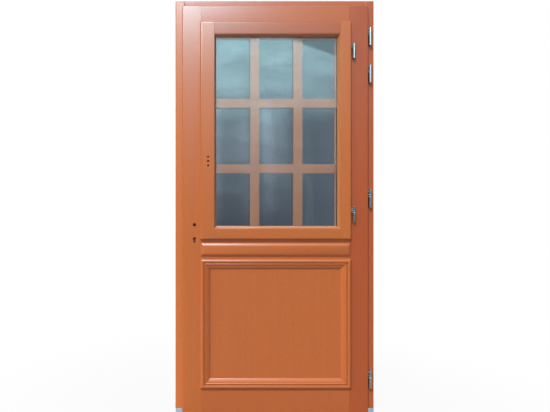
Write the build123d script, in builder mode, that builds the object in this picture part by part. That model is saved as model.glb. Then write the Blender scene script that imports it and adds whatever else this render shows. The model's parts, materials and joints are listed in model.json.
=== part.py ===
"""Front door with a glazed opening sash above and a framed panel below, in its own frame.

The room side of the door faces -Y. X runs across the opening from the lock side (-X) to the
hinge side (+X), and Z runs up from the underside of the threshold. The origin lies on that
underside, in the middle of the width and half way through the frame's depth. The leaf and
the sash both open into the room. All sizes are millimetres.
"""
import os
from math import atan, cos, degrees, pi, radians, sin, tan

from build123d import *

os.makedirs("parts", exist_ok=True)

# Frame: two jambs and a head, rebated for the leaf, with a stop on the outside
frame_width = 1000.0
frame_height = 2080.0
frame_depth = 60.0
jamb_face = 45.0
head_face = 41.0
stop_width = 20.0
stop_thickness = 14.0
frame_arris = 3.0

# Threshold: two aluminium profiles joined by a thermal break
threshold_height = 24.0
threshold_wall = 2.5
threshold_inner_depth = 34.0
threshold_break_depth = 8.0
threshold_break_height = 12.0
threshold_nose = 32.0
threshold_nose_height = 14.0
upstand_height = 20.0
upstand_thickness = 6.0
upstand_setback = 1.0

# Leaf: stiles and rails with a lip that laps over the frame on the room side
leaf_thickness = 58.0
leaf_gap = 4.0
lip_cover = 11.0
lip_gap = 1.0
seal_gap = 4.0
floor_gap = 6.0
sill_gap = 6.0
leaf_arris = 4.0
leaf_stile_face = 94.0
leaf_stop_width = 18.0
leaf_stop_thickness = 15.0
panel_opening_bottom = 135.0
panel_opening_top = 773.0
sash_opening_bottom = 883.0
leaf_top_rail_face = 87.0

# Tenons that join rails to stiles and head to jambs
tenon_thickness = 16.0
tenon_length = 58.0
tenon_shoulder = 6.0
tenon_play = 0.2
tenon_end_play = 1.0
sash_tenon_length = 36.0
sash_tenon_thickness = 12.0
head_tenon_length = 32.0

# Lower panel, its moulding and the raised bar above it
panel_thickness = 37.0
panel_play = 1.0
moulding_width = 50.0
moulding_lap = 6.0
moulding_proud = 12.0
moulding_edge = 4.0
ovolo_width = 18.0
quirk_width = 3.0
quirk_depth = 7.0
moulding_bead_radius = 4.0
moulding_toe = 2.0
moulding_cove_hollow = 0.08
ovolo_fall = 2.0
raised_bar_lap = 2.0
raised_bar_bottom = 795.0
raised_bar_height = 63.0
raised_bar_edge = 4.0
raised_bar_bevel_width = 12.0
raised_bar_bevel_depth = 8.0

# Weatherboard on the outside, at the foot of the leaf
weatherboard_bottom = 50.0
weatherboard_height = 44.0
weatherboard_reach = 34.0
weatherboard_nose = 8.0
weatherboard_end_gap = 8.0
drip_width = 4.0
drip_depth = 3.0

# Sash: rebated frame that closes against the leaf and carries the glass
sash_proud = 15.0
sash_cover = 5.0
sash_gap = 4.0
sash_lip_gap = 0.8
sash_seal_gap = 3.0
sash_arris = 8.0
sash_handle_stile = 67.0
sash_hinge_stile = 54.0
sash_top_rail = 62.0
sash_bottom_rail = 53.0

# Sealed glazing unit with bars between its panes, held by beads on the room side
pane_thickness = 4.0
pane_cavity = 16.0
glass_edge_gap = 4.0
glass_lip_thickness = 12.0
glass_bead_width = 13.0
glass_bead_setback = 1.5
glass_bead_flat = 2.5
glass_bead_toe = 4.0
spacer_width = 9.0
glazing_bar_width = 45.0
glazing_bar_thickness = 12.0
pane_row_low = 266.0
pane_row_middle = 285.0

# Rubber seals
seal_stem_width = 3.0
seal_stem_depth = 3.5
seal_bulb_width = 8.0
seal_touch_gap = 0.3
seal_sill_gap = 1.0
seal_roundness = 0.6

# Hinges of the leaf: a knuckle on the leaf over a knuckle on the frame, each with stems
leaf_hinge_top_drop = 182.0
leaf_hinge_second_drop = 370.0
leaf_hinge_middle_height = 1082.0
leaf_hinge_foot_height = 173.0
leaf_hinge_radius = 8.0
leaf_hinge_length = 90.0
leaf_hinge_upper = 35.0
leaf_hinge_offset = 12.0
leaf_hinge_clearance = 1.5
leaf_pin_radius = 4.0
leaf_stem_radius = 3.5
leaf_stem_length = 52.0
frame_stem_length = 46.0

# Hinges of the sash
sash_hinge_top_drop = 147.0
sash_hinge_foot_rise = 126.0
sash_hinge_radius = 7.5
sash_hinge_length = 76.0
sash_hinge_upper = 29.0
sash_hinge_offset = 14.0
sash_hinge_clearance = 1.0
sash_pin_radius = 3.5
sash_stem_radius = 3.0
sash_stem_length = 50.0
leaf_sash_stem_length = 42.0

# Details that all the hinges share
knuckle_bevel = 1.5
knuckle_ring = 2.0
ring_gap = 0.3
ring_setback = 0.3
stem_inset = 9.0
stem_sides = 8
pin_sides = 16
pin_end_cover = 4.0
running_clearance = 0.05

# Mortise lock: latch worked by the spindle, bolt worked by a profile cylinder
lock_backset = 45.0
spindle_height = 950.0
spindle_to_cylinder = 70.0
spindle_hole_radius = 9.0
lock_case_depth = 68.0
lock_case_thickness = 14.0
lock_case_above = 50.0
lock_case_below = 115.0
lock_case_wall = 1.5
lock_play = 0.3
faceplate_width = 20.0
faceplate_thickness = 3.0
faceplate_overhang = 35.0
plate_corner = 3.0
follower_radius = 12.0
follower_square = 8.2
follower_arm = 17.9
follower_tip_radius = 3.0
follower_tip_gap = 0.6
latch_height = 24.0
latch_rise = 24.0
latch_throw = 11.5
latch_bolt_height = 26.0
bolt_drop = 44.0
bolt_throw = 20.0
bolt_length = 50.0
bolt_nose = 1.5
bolt_notch_width = 10.0
bolt_notch_depth = 5.0
latch_head_length = 22.0
latch_bevel = 7.0
latch_tail_height = 7.5
latch_tail_rise = 1.6
latch_lug_width = 5.0
cylinder_radius = 8.7
cylinder_slot_width = 10.4
cylinder_slot_drop = 24.6
screw_radius = 2.2
screw_sides = 12
screw_head_radius = 4.0
screw_length = 25.0

# Strike plate in the lock jamb
strike_width = 24.0
strike_overhang = 30.0
strike_pocket_clearance = 9.0
strike_hole_play = 1.5

# Espagnolette in the sash: gearbox, rod with two rollers, face plate and keeps
handle_height = 1269.0
gearbox_backset = 29.0
gearbox_depth = 42.0
gearbox_height = 96.0
gearbox_thickness = 13.0
gearbox_wall = 1.5
handle_screw_spacing = 43.0
handle_screw_hole_radius = 5.0
handle_hub_hole_radius = 6.5
hub_radius = 6.0
hub_journal_radius = 8.0
handle_thread_radius = 2.5
hub_square = 7.1
hub_sunk = 4.0
pinion_radius = 11.46
pinion_teeth = 16
tooth_tip_height = 1.0
tooth_root_depth = 1.5
pinion_tip_share = 0.14
pinion_root_share = 0.30
rack_play = 0.15
rack_flank_angle = 20.0
rack_teeth_below = 3
rack_teeth_above = 7
rod_travel = 18.0
rod_width = 12.0
rod_thickness = 3.0
rack_length = 50.0
sash_plate_width = 16.0
sash_plate_thickness = 2.5
sash_plate_end = 42.0
rod_end = 40.0
roller_radius = 4.0
roller_reach = 5.5
roller_foot_rise = 242.0
roller_top_drop = 228.0
roller_slot_play = 1.0
keep_thickness = 2.0
keep_floor_gap = 1.5
keep_length = 64.0
keep_hook_thickness = 3.0
keep_hook_gap = 2.5

# Planes of the frame
frame_front = -frame_depth / 2
frame_back = frame_depth / 2
half_width = frame_width / 2
jamb_rebate = half_width - jamb_face
jamb_stop = jamb_rebate - stop_width
head_rebate = frame_height - head_face
head_stop = head_rebate - stop_width
stop_front = frame_back - stop_thickness

# Planes of the leaf
leaf_back = stop_front - seal_gap
leaf_front = leaf_back - leaf_thickness
lip_back = frame_front - lip_gap
body_side = jamb_rebate - leaf_gap
lip_side = jamb_rebate + lip_cover
body_top = head_rebate - leaf_gap
lip_top = head_rebate + lip_cover
body_bottom = threshold_height + sill_gap
lip_bottom = floor_gap
opening_side = lip_side - leaf_stile_face
leaf_stop_front = leaf_back - leaf_stop_thickness
leaf_stop_side = opening_side - leaf_stop_width
sash_opening_top = lip_top - leaf_top_rail_face

# Planes of the sash
sash_front = leaf_front - sash_proud
sash_lip_back = leaf_front - sash_lip_gap
sash_back = leaf_stop_front - sash_seal_gap
sash_lip_side = opening_side + sash_cover
sash_body_side = opening_side - sash_gap
sash_top = sash_opening_top + sash_cover
sash_bottom = sash_opening_bottom - sash_cover
sash_body_top = sash_opening_top - sash_gap
sash_body_bottom = sash_opening_bottom + sash_gap

# Glazing rebate of the sash, as left, right, bottom and top
glass_left = -sash_lip_side + sash_handle_stile
glass_right = sash_lip_side - sash_hinge_stile
glass_bottom = sash_bottom + sash_bottom_rail
glass_top = sash_top - sash_top_rail
glass_back = sash_back - glass_lip_thickness
unit_thickness = 2 * pane_thickness + pane_cavity
glass_front = glass_back - unit_thickness

# Places of the hinge axes, and heights of the hinges' middles
leaf_axis_x = lip_side + leaf_hinge_offset
leaf_axis_y = frame_front - leaf_hinge_clearance - leaf_hinge_radius
sash_axis_x = sash_lip_side + sash_hinge_offset
sash_axis_y = leaf_front - sash_hinge_clearance - sash_hinge_radius
leaf_hinge_heights = (
    frame_height - leaf_hinge_top_drop,
    frame_height - leaf_hinge_second_drop,
    leaf_hinge_middle_height,
    leaf_hinge_foot_height,
)
sash_hinge_heights = (sash_top - sash_hinge_top_drop, sash_bottom + sash_hinge_foot_rise)

# Places of the lock and the espagnolette
lock_x = -body_side + lock_backset
lock_y = (lip_back + leaf_back) / 2
cylinder_height = spindle_height - spindle_to_cylinder
lock_top = spindle_height + lock_case_above
lock_bottom = spindle_height - lock_case_below
case_outer = -body_side + faceplate_thickness
case_inner = case_outer + lock_case_depth
case_front = lock_y - lock_case_thickness / 2
case_back = lock_y + lock_case_thickness / 2
latch_z = spindle_height + latch_rise
bolt_z = spindle_height - bolt_drop
gear_x = -sash_body_side + gearbox_backset
gear_y = (sash_lip_back + sash_back) / 2
gear_outer = -sash_body_side + sash_plate_thickness
rack_face = gear_x - pinion_radius
rack_root = rack_face - tooth_root_depth
roller_heights = (sash_bottom + roller_foot_rise, sash_top - roller_top_drop)
tenon_y = (leaf_front + leaf_stop_front) / 2
sash_tenon_y = (sash_front + glass_back) / 2


def block(x, y, z, mode=Mode.ADD):
    """A square block between two values on each axis, added to the part or cut from it."""
    middle = ((x[0] + x[1]) / 2, (y[0] + y[1]) / 2, (z[0] + z[1]) / 2)
    with Locations(middle):
        Box(abs(x[1] - x[0]), abs(y[1] - y[0]), abs(z[1] - z[0]), mode=mode)


def round_bar(start, direction, radius, length, mode=Mode.ADD):
    """A round bar or bore from a point along a direction."""
    with Locations(Plane(origin=start, z_dir=direction).location):
        Cylinder(radius, length, align=(Align.CENTER, Align.CENTER, Align.MIN), mode=mode)


def flat_sided_bar(start, direction, radius, length, sides, bore=False):
    """A bar with flats that keep it light, inside its radius, or a bore that stays outside it."""
    with BuildPart() as piece:
        with BuildSketch(Plane(origin=start, z_dir=direction)):
            RegularPolygon(radius, sides, major_radius=not bore)
        extrude(amount=length)
    return piece.part


def stem(start, direction, radius, length):
    """A hinge stem, or the bore that it sits in."""
    return flat_sided_bar(start, direction, radius, length, stem_sides)


def edges_at(part, axis, **place):
    """The straight edges along an axis whose middles have the given coordinates."""
    chosen = part.edges().filter_by(axis)
    for name, value in place.items():
        chosen = chosen.filter_by(lambda edge: abs(getattr(edge.center(), name) - value) < 0.01)
    return chosen


def outline(points):
    """A flat face on the sketch in hand, inside a closed run of straight lines."""
    Polygon(*points, align=None)


def save(part, name):
    """Label a finished piece and write it to its own file."""
    part.label = name
    export_step(part, f"parts/{name}.step")


def ring(left, right, bottom, top, width, start, depth):
    """A rectangular ring centred on four lines, with its depth along Y from a start plane."""
    with BuildPart(mode=Mode.PRIVATE) as frame:
        with BuildSketch(Plane.XZ.offset(-start)):
            with Locations(((left + right) / 2, (bottom + top) / 2)):
                Rectangle(right - left + width, top - bottom + width)
                Rectangle(right - left - width, top - bottom - width, mode=Mode.SUBTRACT)
        extrude(amount=-depth)
    return frame.part


def tenons(shoulder, z, y_middle, thickness, length, ends=(-1, 1), play=0.0, mode=Mode.ADD):
    """Tenons on the ends of a rail, or with play and SUBTRACT the mortises for them."""
    reach = length + (tenon_end_play if play else 0.0)
    for end in ends:
        near = shoulder[0] if end < 0 else shoulder[1]
        block(
            (near, near + end * reach),
            (y_middle - thickness / 2 - play, y_middle + thickness / 2 + play),
            (z[0] - play, z[1] + play),
            mode=mode,
        )


def mitred_sides(profile, left, right, bottom, top):
    """Four mitred lengths of a profile around a rectangle, as lock, top, hinge and bottom.

    The profile has x measured inwards from the outer edge, and y as it lies.
    """
    corners = {
        "lock": (Vector(left, 0, bottom), Vector(1, 0, 0), Vector(0, 0, 1), top - bottom),
        "top": (Vector(left, 0, top), Vector(0, 0, -1), Vector(1, 0, 0), right - left),
        "hinge": (Vector(right, 0, top), Vector(-1, 0, 0), Vector(0, 0, -1), top - bottom),
        "bottom": (Vector(right, 0, bottom), Vector(0, 0, 1), Vector(-1, 0, 0), right - left),
    }
    sides = {}
    for name, (corner, inward, along, length) in corners.items():
        with BuildPart() as side:
            with BuildSketch(Plane(origin=corner, x_dir=inward, z_dir=along)):
                add(profile)
            extrude(amount=length)
            split(bisect_by=Plane(origin=corner, z_dir=along - inward))
            split(bisect_by=Plane(origin=corner + along * length, z_dir=-along - inward))
        sides[name] = side.part
    return sides


def moulding_profile():
    """Bolection moulding: an ovolo, a quirk, a bead and a cove down to the panel."""
    crest = leaf_front - moulding_proud
    shoulder = leaf_front - moulding_edge
    seat = leaf_stop_front - panel_thickness
    quirk = crest + quirk_depth
    bead_start = ovolo_width + quirk_width
    bead_end = bead_start + 2 * moulding_bead_radius
    cove_width = moulding_width - bead_end
    toe = seat - moulding_toe
    cove_sag = cove_width * moulding_cove_hollow
    with BuildSketch() as section:
        with BuildLine():
            Polyline((0, shoulder), (0, leaf_front), (moulding_lap, leaf_front))
            Polyline((moulding_lap, leaf_front), (moulding_lap, seat), (moulding_width, seat))
            Line((moulding_width, seat), (moulding_width, toe))
            SagittaArc((moulding_width, toe), (bead_end, quirk), cove_sag)
            ThreePointArc(
                (bead_end, quirk),
                (bead_start + moulding_bead_radius, quirk - moulding_bead_radius),
                (bead_start, quirk),
            )
            Line((bead_start, quirk), (ovolo_width, quirk))
            Line((ovolo_width, quirk), (ovolo_width, crest + ovolo_fall))
            ThreePointArc(
                (ovolo_width, crest + ovolo_fall),
                (ovolo_width / 2, crest),
                (0, shoulder),
            )
        make_face()
    return section.sketch


def glass_bead_profile():
    """Glazing bead: flat on the glass and in the rebate, sloped towards the glass."""
    top = sash_front + glass_bead_setback
    toe = glass_front - glass_bead_toe
    with BuildSketch() as section:
        outline(
            [
                (0, glass_front),
                (0, top),
                (glass_bead_flat, top),
                (glass_bead_width, toe),
                (glass_bead_width, glass_front),
            ]
        )
    return section.sketch


def cylinder_profile(grow=0.0):
    """The keyhole shape of a profile cylinder on the sketch in hand, round part up."""
    end_radius = cylinder_slot_width / 2
    with Locations((lock_x, cylinder_height)):
        Circle(cylinder_radius + grow)
    drop = cylinder_slot_drop - end_radius
    with Locations((lock_x, cylinder_height - drop / 2)):
        Rectangle(cylinder_slot_width + 2 * grow, drop)
    with Locations((lock_x, cylinder_height - drop)):
        Circle(end_radius + grow)


def seal_channel(mode):
    """The groove for the frame's seal, all the way round."""
    channel = ring(
        -seal_line_x, seal_line_x, seal_line_bottom, seal_line_top,
        seal_stem_width, stop_front, seal_stem_depth,
    )
    add(channel, mode=mode)


def sash_seal_channel(mode):
    """The groove for the sash's seal in the leaf's stop."""
    channel = ring(
        -sash_seal_x, sash_seal_x, sash_seal_bottom, sash_seal_top,
        seal_stem_width, leaf_stop_front, seal_stem_depth,
    )
    add(channel, mode=mode)


seal_line_x = (jamb_rebate + jamb_stop) / 2
seal_line_top = (head_rebate + head_stop) / 2
seal_line_bottom = threshold_height + upstand_height - seal_bulb_width / 2 - seal_sill_gap
sash_seal_x = (opening_side + leaf_stop_side) / 2
sash_seal_top = sash_opening_top - leaf_stop_width / 2
sash_seal_bottom = sash_opening_bottom + leaf_stop_width / 2

head_tenon_z = (head_rebate + tenon_shoulder, frame_height - tenon_shoulder)
top_tenon_z = (sash_opening_top + tenon_shoulder, body_top - tenon_shoulder)
mid_tenon_z = (panel_opening_top + tenon_shoulder, lock_bottom - tenon_shoulder)
bottom_tenon_z = (body_bottom + tenon_shoulder, panel_opening_bottom - tenon_shoulder)
sash_top_tenon_z = (glass_top + tenon_shoulder, sash_body_top - tenon_shoulder)
sash_bottom_tenon_z = (sash_body_bottom + tenon_shoulder, glass_bottom - tenon_shoulder)


def jamb(side):
    """The plain jamb on one side: a rebated post on the threshold, grooved for the seal."""
    with BuildPart() as post:
        with BuildSketch(Plane.XY.offset(threshold_height)):
            outline(
                [
                    (side * half_width, frame_front),
                    (side * jamb_rebate, frame_front),
                    (side * jamb_rebate, stop_front),
                    (side * jamb_stop, stop_front),
                    (side * jamb_stop, frame_back),
                    (side * half_width, frame_back),
                ]
            )
        extrude(amount=frame_height - threshold_height)
        fillet(edges_at(post, Axis.Z, Y=frame_front), frame_arris)
        seal_channel(Mode.SUBTRACT)
        tenons(
            (-jamb_rebate, jamb_rebate), head_tenon_z, 0, tenon_thickness, head_tenon_length,
            ends=(side,), play=tenon_play, mode=Mode.SUBTRACT,
        )
    return post.part


# Lock jamb: let in for the strike plate, with a pocket behind it for the latch and the bolt
strike_top = latch_z + latch_height / 2 + strike_overhang
strike_bottom = bolt_z - latch_bolt_height / 2 - strike_overhang
strike_latch_z = (
    latch_z - latch_height / 2 - strike_hole_play,
    latch_z + latch_height / 2 + strike_hole_play,
)
strike_bolt_z = (
    bolt_z - latch_bolt_height / 2 - strike_hole_play,
    bolt_z + latch_bolt_height / 2 + strike_hole_play,
)
bolt_thickness = lock_case_thickness - 2 * lock_case_wall - 2 * lock_play
strike_hole_y = (
    lock_y - bolt_thickness / 2 - strike_hole_play,
    lock_y + bolt_thickness / 2 + strike_hole_play,
)
strike_plate_back = -jamb_rebate - faceplate_thickness
strike_pocket_end = -body_side - bolt_throw - strike_pocket_clearance
strike_screw_heights = (strike_bottom + strike_overhang / 2, strike_top - strike_overhang / 2)


def countersunk_screw(x, way, height, play=0.0):
    """A countersunk screw that runs along X from its flush head, or the hole for it."""
    start = (x, lock_y, height)
    taper_depth = (screw_head_radius - screw_radius) * cos(pi / screw_sides)
    with BuildPart() as piece:
        with BuildSketch(Plane(origin=start, z_dir=(way, 0, 0))):
            RegularPolygon(screw_head_radius + play, screw_sides)
        extrude(amount=taper_depth, taper=45)
        add(flat_sided_bar(start, (way, 0, 0), screw_radius + play, screw_length, screw_sides))
    return piece.part


with BuildPart() as frame_jamb_lock:
    add(jamb(-1))
    block(
        (strike_plate_back, -jamb_rebate),
        (lock_y - strike_width / 2, lock_y + strike_width / 2),
        (strike_bottom, strike_top),
        mode=Mode.SUBTRACT,
    )
    for pocket_z in (strike_latch_z, strike_bolt_z):
        block(
            (strike_pocket_end, strike_plate_back),
            strike_hole_y,
            pocket_z,
            mode=Mode.SUBTRACT,
        )
    for height in strike_screw_heights:
        hole = countersunk_screw(-jamb_rebate, -1, height, running_clearance)
        add(hole, mode=Mode.SUBTRACT)
save(frame_jamb_lock.part, "frame_jamb_lock")

with BuildPart() as strike_plate:
    block(
        (strike_plate_back, -jamb_rebate),
        (lock_y - strike_width / 2, lock_y + strike_width / 2),
        (strike_bottom, strike_top),
    )
    fillet(strike_plate.edges().filter_by(Axis.X), plate_corner)
    for hole_z in (strike_latch_z, strike_bolt_z):
        block((strike_plate_back, -jamb_rebate), strike_hole_y, hole_z, mode=Mode.SUBTRACT)
    for height in strike_screw_heights:
        add(countersunk_screw(-jamb_rebate, -1, height), mode=Mode.SUBTRACT)
save(strike_plate.part, "strike_plate")


with BuildPart() as strike_screws:
    for height in strike_screw_heights:
        add(countersunk_screw(-jamb_rebate, -1, height))
save(strike_screws.part, "strike_screws")

# Hinge jamb: bored for the stems of the frame knuckles
leaf_lower = leaf_hinge_length - leaf_hinge_upper - knuckle_ring


def lower_stem_heights(centre, length, lower):
    """Heights of the two stems of a lower knuckle, set in from its ends."""
    bottom = centre - length / 2
    return (bottom + stem_inset, bottom + lower - stem_inset)


def upper_stem_heights(centre, length, upper):
    """Heights of the two stems of an upper knuckle, set in from its ends."""
    top = centre + length / 2
    return (top - stem_inset, top - upper + stem_inset)


with BuildPart() as frame_jamb_hinge:
    add(jamb(1))
    for centre in leaf_hinge_heights:
        for height in lower_stem_heights(centre, leaf_hinge_length, leaf_lower):
            bore = stem(
                (leaf_axis_x, leaf_axis_y, height), (0, 1, 0),
                leaf_stem_radius + running_clearance, frame_stem_length + tenon_end_play,
            )
            add(bore, mode=Mode.SUBTRACT)
save(frame_jamb_hinge.part, "frame_jamb_hinge")

with BuildPart() as frame_head:
    with BuildSketch(Plane.YZ):
        outline(
            [
                (frame_front, head_rebate),
                (frame_front, frame_height),
                (frame_back, frame_height),
                (frame_back, head_stop),
                (stop_front, head_stop),
                (stop_front, head_rebate),
            ]
        )
    extrude(amount=jamb_rebate, both=True)
    fillet(edges_at(frame_head, Axis.X, Y=frame_front, Z=head_rebate), frame_arris)
    for side in (-1, 1):
        block(
            (side * jamb_stop, side * jamb_rebate),
            (stop_front, frame_back),
            (head_stop, frame_height),
            mode=Mode.SUBTRACT,
        )
    tenons((-jamb_rebate, jamb_rebate), head_tenon_z, 0, tenon_thickness, head_tenon_length)
    seal_channel(Mode.SUBTRACT)
save(frame_head.part, "frame_head")

# Threshold
break_front = frame_front + threshold_inner_depth
break_back = break_front + threshold_break_depth
break_low = (threshold_height - threshold_break_height) / 2
break_high = break_low + threshold_break_height
nose_back = frame_back + threshold_nose

with BuildPart() as threshold_inner:
    with BuildSketch(Plane.YZ):
        with Locations((frame_front + threshold_inner_depth / 2, threshold_height / 2)):
            Rectangle(threshold_inner_depth, threshold_height)
            Rectangle(
                threshold_inner_depth - 2 * threshold_wall,
                threshold_height - 2 * threshold_wall,
                mode=Mode.SUBTRACT,
            )
    extrude(amount=half_width, both=True)
save(threshold_inner.part, "threshold_inner")

with BuildPart() as threshold_break:
    block((-half_width, half_width), (break_front, break_back), (break_low, break_high))
save(threshold_break.part, "threshold_break")

upstand_top = threshold_height + upstand_height
upstand_half = jamb_stop - upstand_setback
with BuildPart() as threshold_outer:
    with BuildSketch(Plane.YZ) as outer_section:
        outline(
            [
                (break_back, 0),
                (break_back, threshold_height),
                (frame_back, threshold_height),
                (nose_back, threshold_nose_height),
                (nose_back, 0),
            ]
        )
        offset(amount=-threshold_wall, kind=Kind.INTERSECTION, mode=Mode.SUBTRACT)
    extrude(amount=half_width, both=True)
    block(
        (-upstand_half, upstand_half),
        (stop_front, stop_front + upstand_thickness),
        (threshold_height, upstand_top),
    )
    seal_channel(Mode.SUBTRACT)
save(threshold_outer.part, "threshold_outer")

# Seal between the leaf and the frame
with BuildPart() as frame_seal:
    seal_channel(Mode.ADD)
    bulb = ring(
        -seal_line_x, seal_line_x, seal_line_bottom, seal_line_top,
        seal_bulb_width, stop_front, -(seal_gap - seal_touch_gap),
    )
    add(bulb)
    soft_edges = frame_seal.edges().filter_by(
        lambda edge: abs(edge.center().Y - (leaf_back + seal_touch_gap)) < 0.01
    )
    fillet(soft_edges, (seal_gap - seal_touch_gap) * seal_roundness)
save(frame_seal.part, "frame_seal")


def leaf_stile(side):
    """A full-height stile: lip on the room side, rebate and stop towards the opening."""
    with BuildPart() as stile:
        with BuildSketch(Plane.XY.offset(lip_bottom)):
            outline(
                [
                    (side * lip_side, leaf_front),
                    (side * opening_side, leaf_front),
                    (side * opening_side, leaf_stop_front),
                    (side * leaf_stop_side, leaf_stop_front),
                    (side * leaf_stop_side, leaf_back),
                    (side * body_side, leaf_back),
                    (side * body_side, lip_back),
                    (side * lip_side, lip_back),
                ]
            )
        extrude(amount=lip_top - lip_bottom)
        fillet(
            edges_at(stile, Axis.Z, X=side * lip_side, Y=leaf_front)
            + edges_at(stile, Axis.X, Y=leaf_front),
            leaf_arris,
        )
        for ends in ((lip_bottom, body_bottom), (body_top, lip_top)):
            block(
                (side * leaf_stop_side, side * lip_side), (lip_back, leaf_back), ends,
                mode=Mode.SUBTRACT,
            )
        sash_seal_channel(Mode.SUBTRACT)
        for tenon_z in (top_tenon_z, mid_tenon_z, bottom_tenon_z):
            tenons(
                (-opening_side, opening_side), tenon_z, tenon_y, tenon_thickness, tenon_length,
                ends=(side,), play=tenon_play, mode=Mode.SUBTRACT,
            )
    return stile.part


def cylinder_hole(start, depth, grow=0.0):
    """A keyhole-shaped block for the cylinder, from a plane on Y."""
    with BuildPart(mode=Mode.PRIVATE) as hole:
        with BuildSketch(Plane.XZ.offset(-start)):
            cylinder_profile(grow)
        extrude(amount=-depth)
    return hole.part


# Lock stile: mortised for the lock, bored for spindle and cylinder, let in for the keeps
plate_low = lock_bottom - faceplate_overhang
plate_high = lock_top + faceplate_overhang
plate_y = (lock_y - faceplate_width / 2, lock_y + faceplate_width / 2)
lock_screw_heights = (plate_low + faceplate_overhang / 2, plate_high - faceplate_overhang / 2)
roller_tip = -sash_body_side - roller_reach
keep_floor = roller_tip - keep_floor_gap
keep_back = keep_floor - keep_thickness
keep_inner = gear_y + roller_radius + keep_hook_thickness + keep_hook_gap

with BuildPart() as leaf_stile_lock:
    add(leaf_stile(-1))
    block((-body_side, case_outer), plate_y, (plate_low, plate_high), mode=Mode.SUBTRACT)
    block(
        (case_outer, case_inner + lock_play),
        (case_front - lock_play, case_back + lock_play),
        (lock_bottom - lock_play, lock_top + lock_play),
        mode=Mode.SUBTRACT,
    )
    round_bar(
        (lock_x, leaf_front, spindle_height), (0, 1, 0),
        spindle_hole_radius, leaf_thickness, mode=Mode.SUBTRACT,
    )
    add(cylinder_hole(leaf_front, leaf_thickness), mode=Mode.SUBTRACT)
    for height in lock_screw_heights:
        hole = countersunk_screw(-body_side, 1, height, running_clearance)
        add(hole, mode=Mode.SUBTRACT)
    for height in roller_heights:
        block(
            (keep_back, -opening_side),
            (leaf_front, keep_inner),
            (height - keep_length / 2, height + keep_length / 2),
            mode=Mode.SUBTRACT,
        )
save(leaf_stile_lock.part, "leaf_stile_lock")

# Hinge stile: bored for the stems of the leaf knuckles and of the sash's lower knuckles
sash_lower = sash_hinge_length - sash_hinge_upper - knuckle_ring
with BuildPart() as leaf_stile_hinge:
    add(leaf_stile(1))
    for centre in leaf_hinge_heights:
        for height in upper_stem_heights(centre, leaf_hinge_length, leaf_hinge_upper):
            bore = stem(
                (leaf_axis_x, leaf_axis_y, height), (-1, 0, 0),
                leaf_stem_radius + running_clearance, leaf_stem_length + tenon_end_play,
            )
            add(bore, mode=Mode.SUBTRACT)
    for centre in sash_hinge_heights:
        for height in lower_stem_heights(centre, sash_hinge_length, sash_lower):
            bore = stem(
                (sash_axis_x, sash_axis_y, height), (0, 1, 0),
                sash_stem_radius + running_clearance, leaf_sash_stem_length + tenon_end_play,
            )
            add(bore, mode=Mode.SUBTRACT)
save(leaf_stile_hinge.part, "leaf_stile_hinge")


def leaf_rail(section, tenon_z):
    """A rail between the stiles, scribed over their stops and tenoned into them."""
    with BuildPart() as rail:
        with BuildSketch(Plane.YZ):
            outline(section)
        extrude(amount=opening_side, both=True)
        for edge_z in (lip_bottom, lip_top):
            lip_edges = edges_at(rail, Axis.X, Y=leaf_front, Z=edge_z)
            if lip_edges:
                fillet(lip_edges, leaf_arris)
        for side in (-1, 1):
            block(
                (side * leaf_stop_side, side * opening_side),
                (leaf_stop_front, leaf_back),
                (lip_bottom, lip_top),
                mode=Mode.SUBTRACT,
            )
        tenons(
            (-opening_side, opening_side), tenon_z, tenon_y, tenon_thickness, tenon_length
        )
        sash_seal_channel(Mode.SUBTRACT)
    return rail.part


leaf_top_rail = leaf_rail(
    [
        (leaf_front, sash_opening_top),
        (leaf_front, lip_top),
        (lip_back, lip_top),
        (lip_back, body_top),
        (leaf_back, body_top),
        (leaf_back, sash_opening_top - leaf_stop_width),
        (leaf_stop_front, sash_opening_top - leaf_stop_width),
        (leaf_stop_front, sash_opening_top),
    ],
    top_tenon_z,
)
save(leaf_top_rail, "leaf_top_rail")

leaf_mid_rail = leaf_rail(
    [
        (leaf_front, panel_opening_top),
        (leaf_front, sash_opening_bottom),
        (leaf_stop_front, sash_opening_bottom),
        (leaf_stop_front, sash_opening_bottom + leaf_stop_width),
        (leaf_back, sash_opening_bottom + leaf_stop_width),
        (leaf_back, panel_opening_top - leaf_stop_width),
        (leaf_stop_front, panel_opening_top - leaf_stop_width),
        (leaf_stop_front, panel_opening_top),
    ],
    mid_tenon_z,
)
save(leaf_mid_rail, "leaf_mid_rail")

leaf_bottom_rail = leaf_rail(
    [
        (leaf_front, lip_bottom),
        (leaf_front, panel_opening_bottom),
        (leaf_stop_front, panel_opening_bottom),
        (leaf_stop_front, panel_opening_bottom + leaf_stop_width),
        (leaf_back, panel_opening_bottom + leaf_stop_width),
        (leaf_back, body_bottom),
        (lip_back, body_bottom),
        (lip_back, lip_bottom),
    ],
    bottom_tenon_z,
)
save(leaf_bottom_rail, "leaf_bottom_rail")

# Panel, held against the stops by its moulding
with BuildPart() as lower_panel:
    block(
        (-opening_side + panel_play, opening_side - panel_play),
        (leaf_stop_front - panel_thickness, leaf_stop_front),
        (panel_opening_bottom + panel_play, panel_opening_top - panel_play),
    )
save(lower_panel.part, "lower_panel")

panel_moulding = mitred_sides(
    moulding_profile(),
    -opening_side - moulding_lap,
    opening_side + moulding_lap,
    panel_opening_bottom - moulding_lap,
    panel_opening_top + moulding_lap,
)
for place, piece in panel_moulding.items():
    save(piece, f"panel_moulding_{place}")

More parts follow.
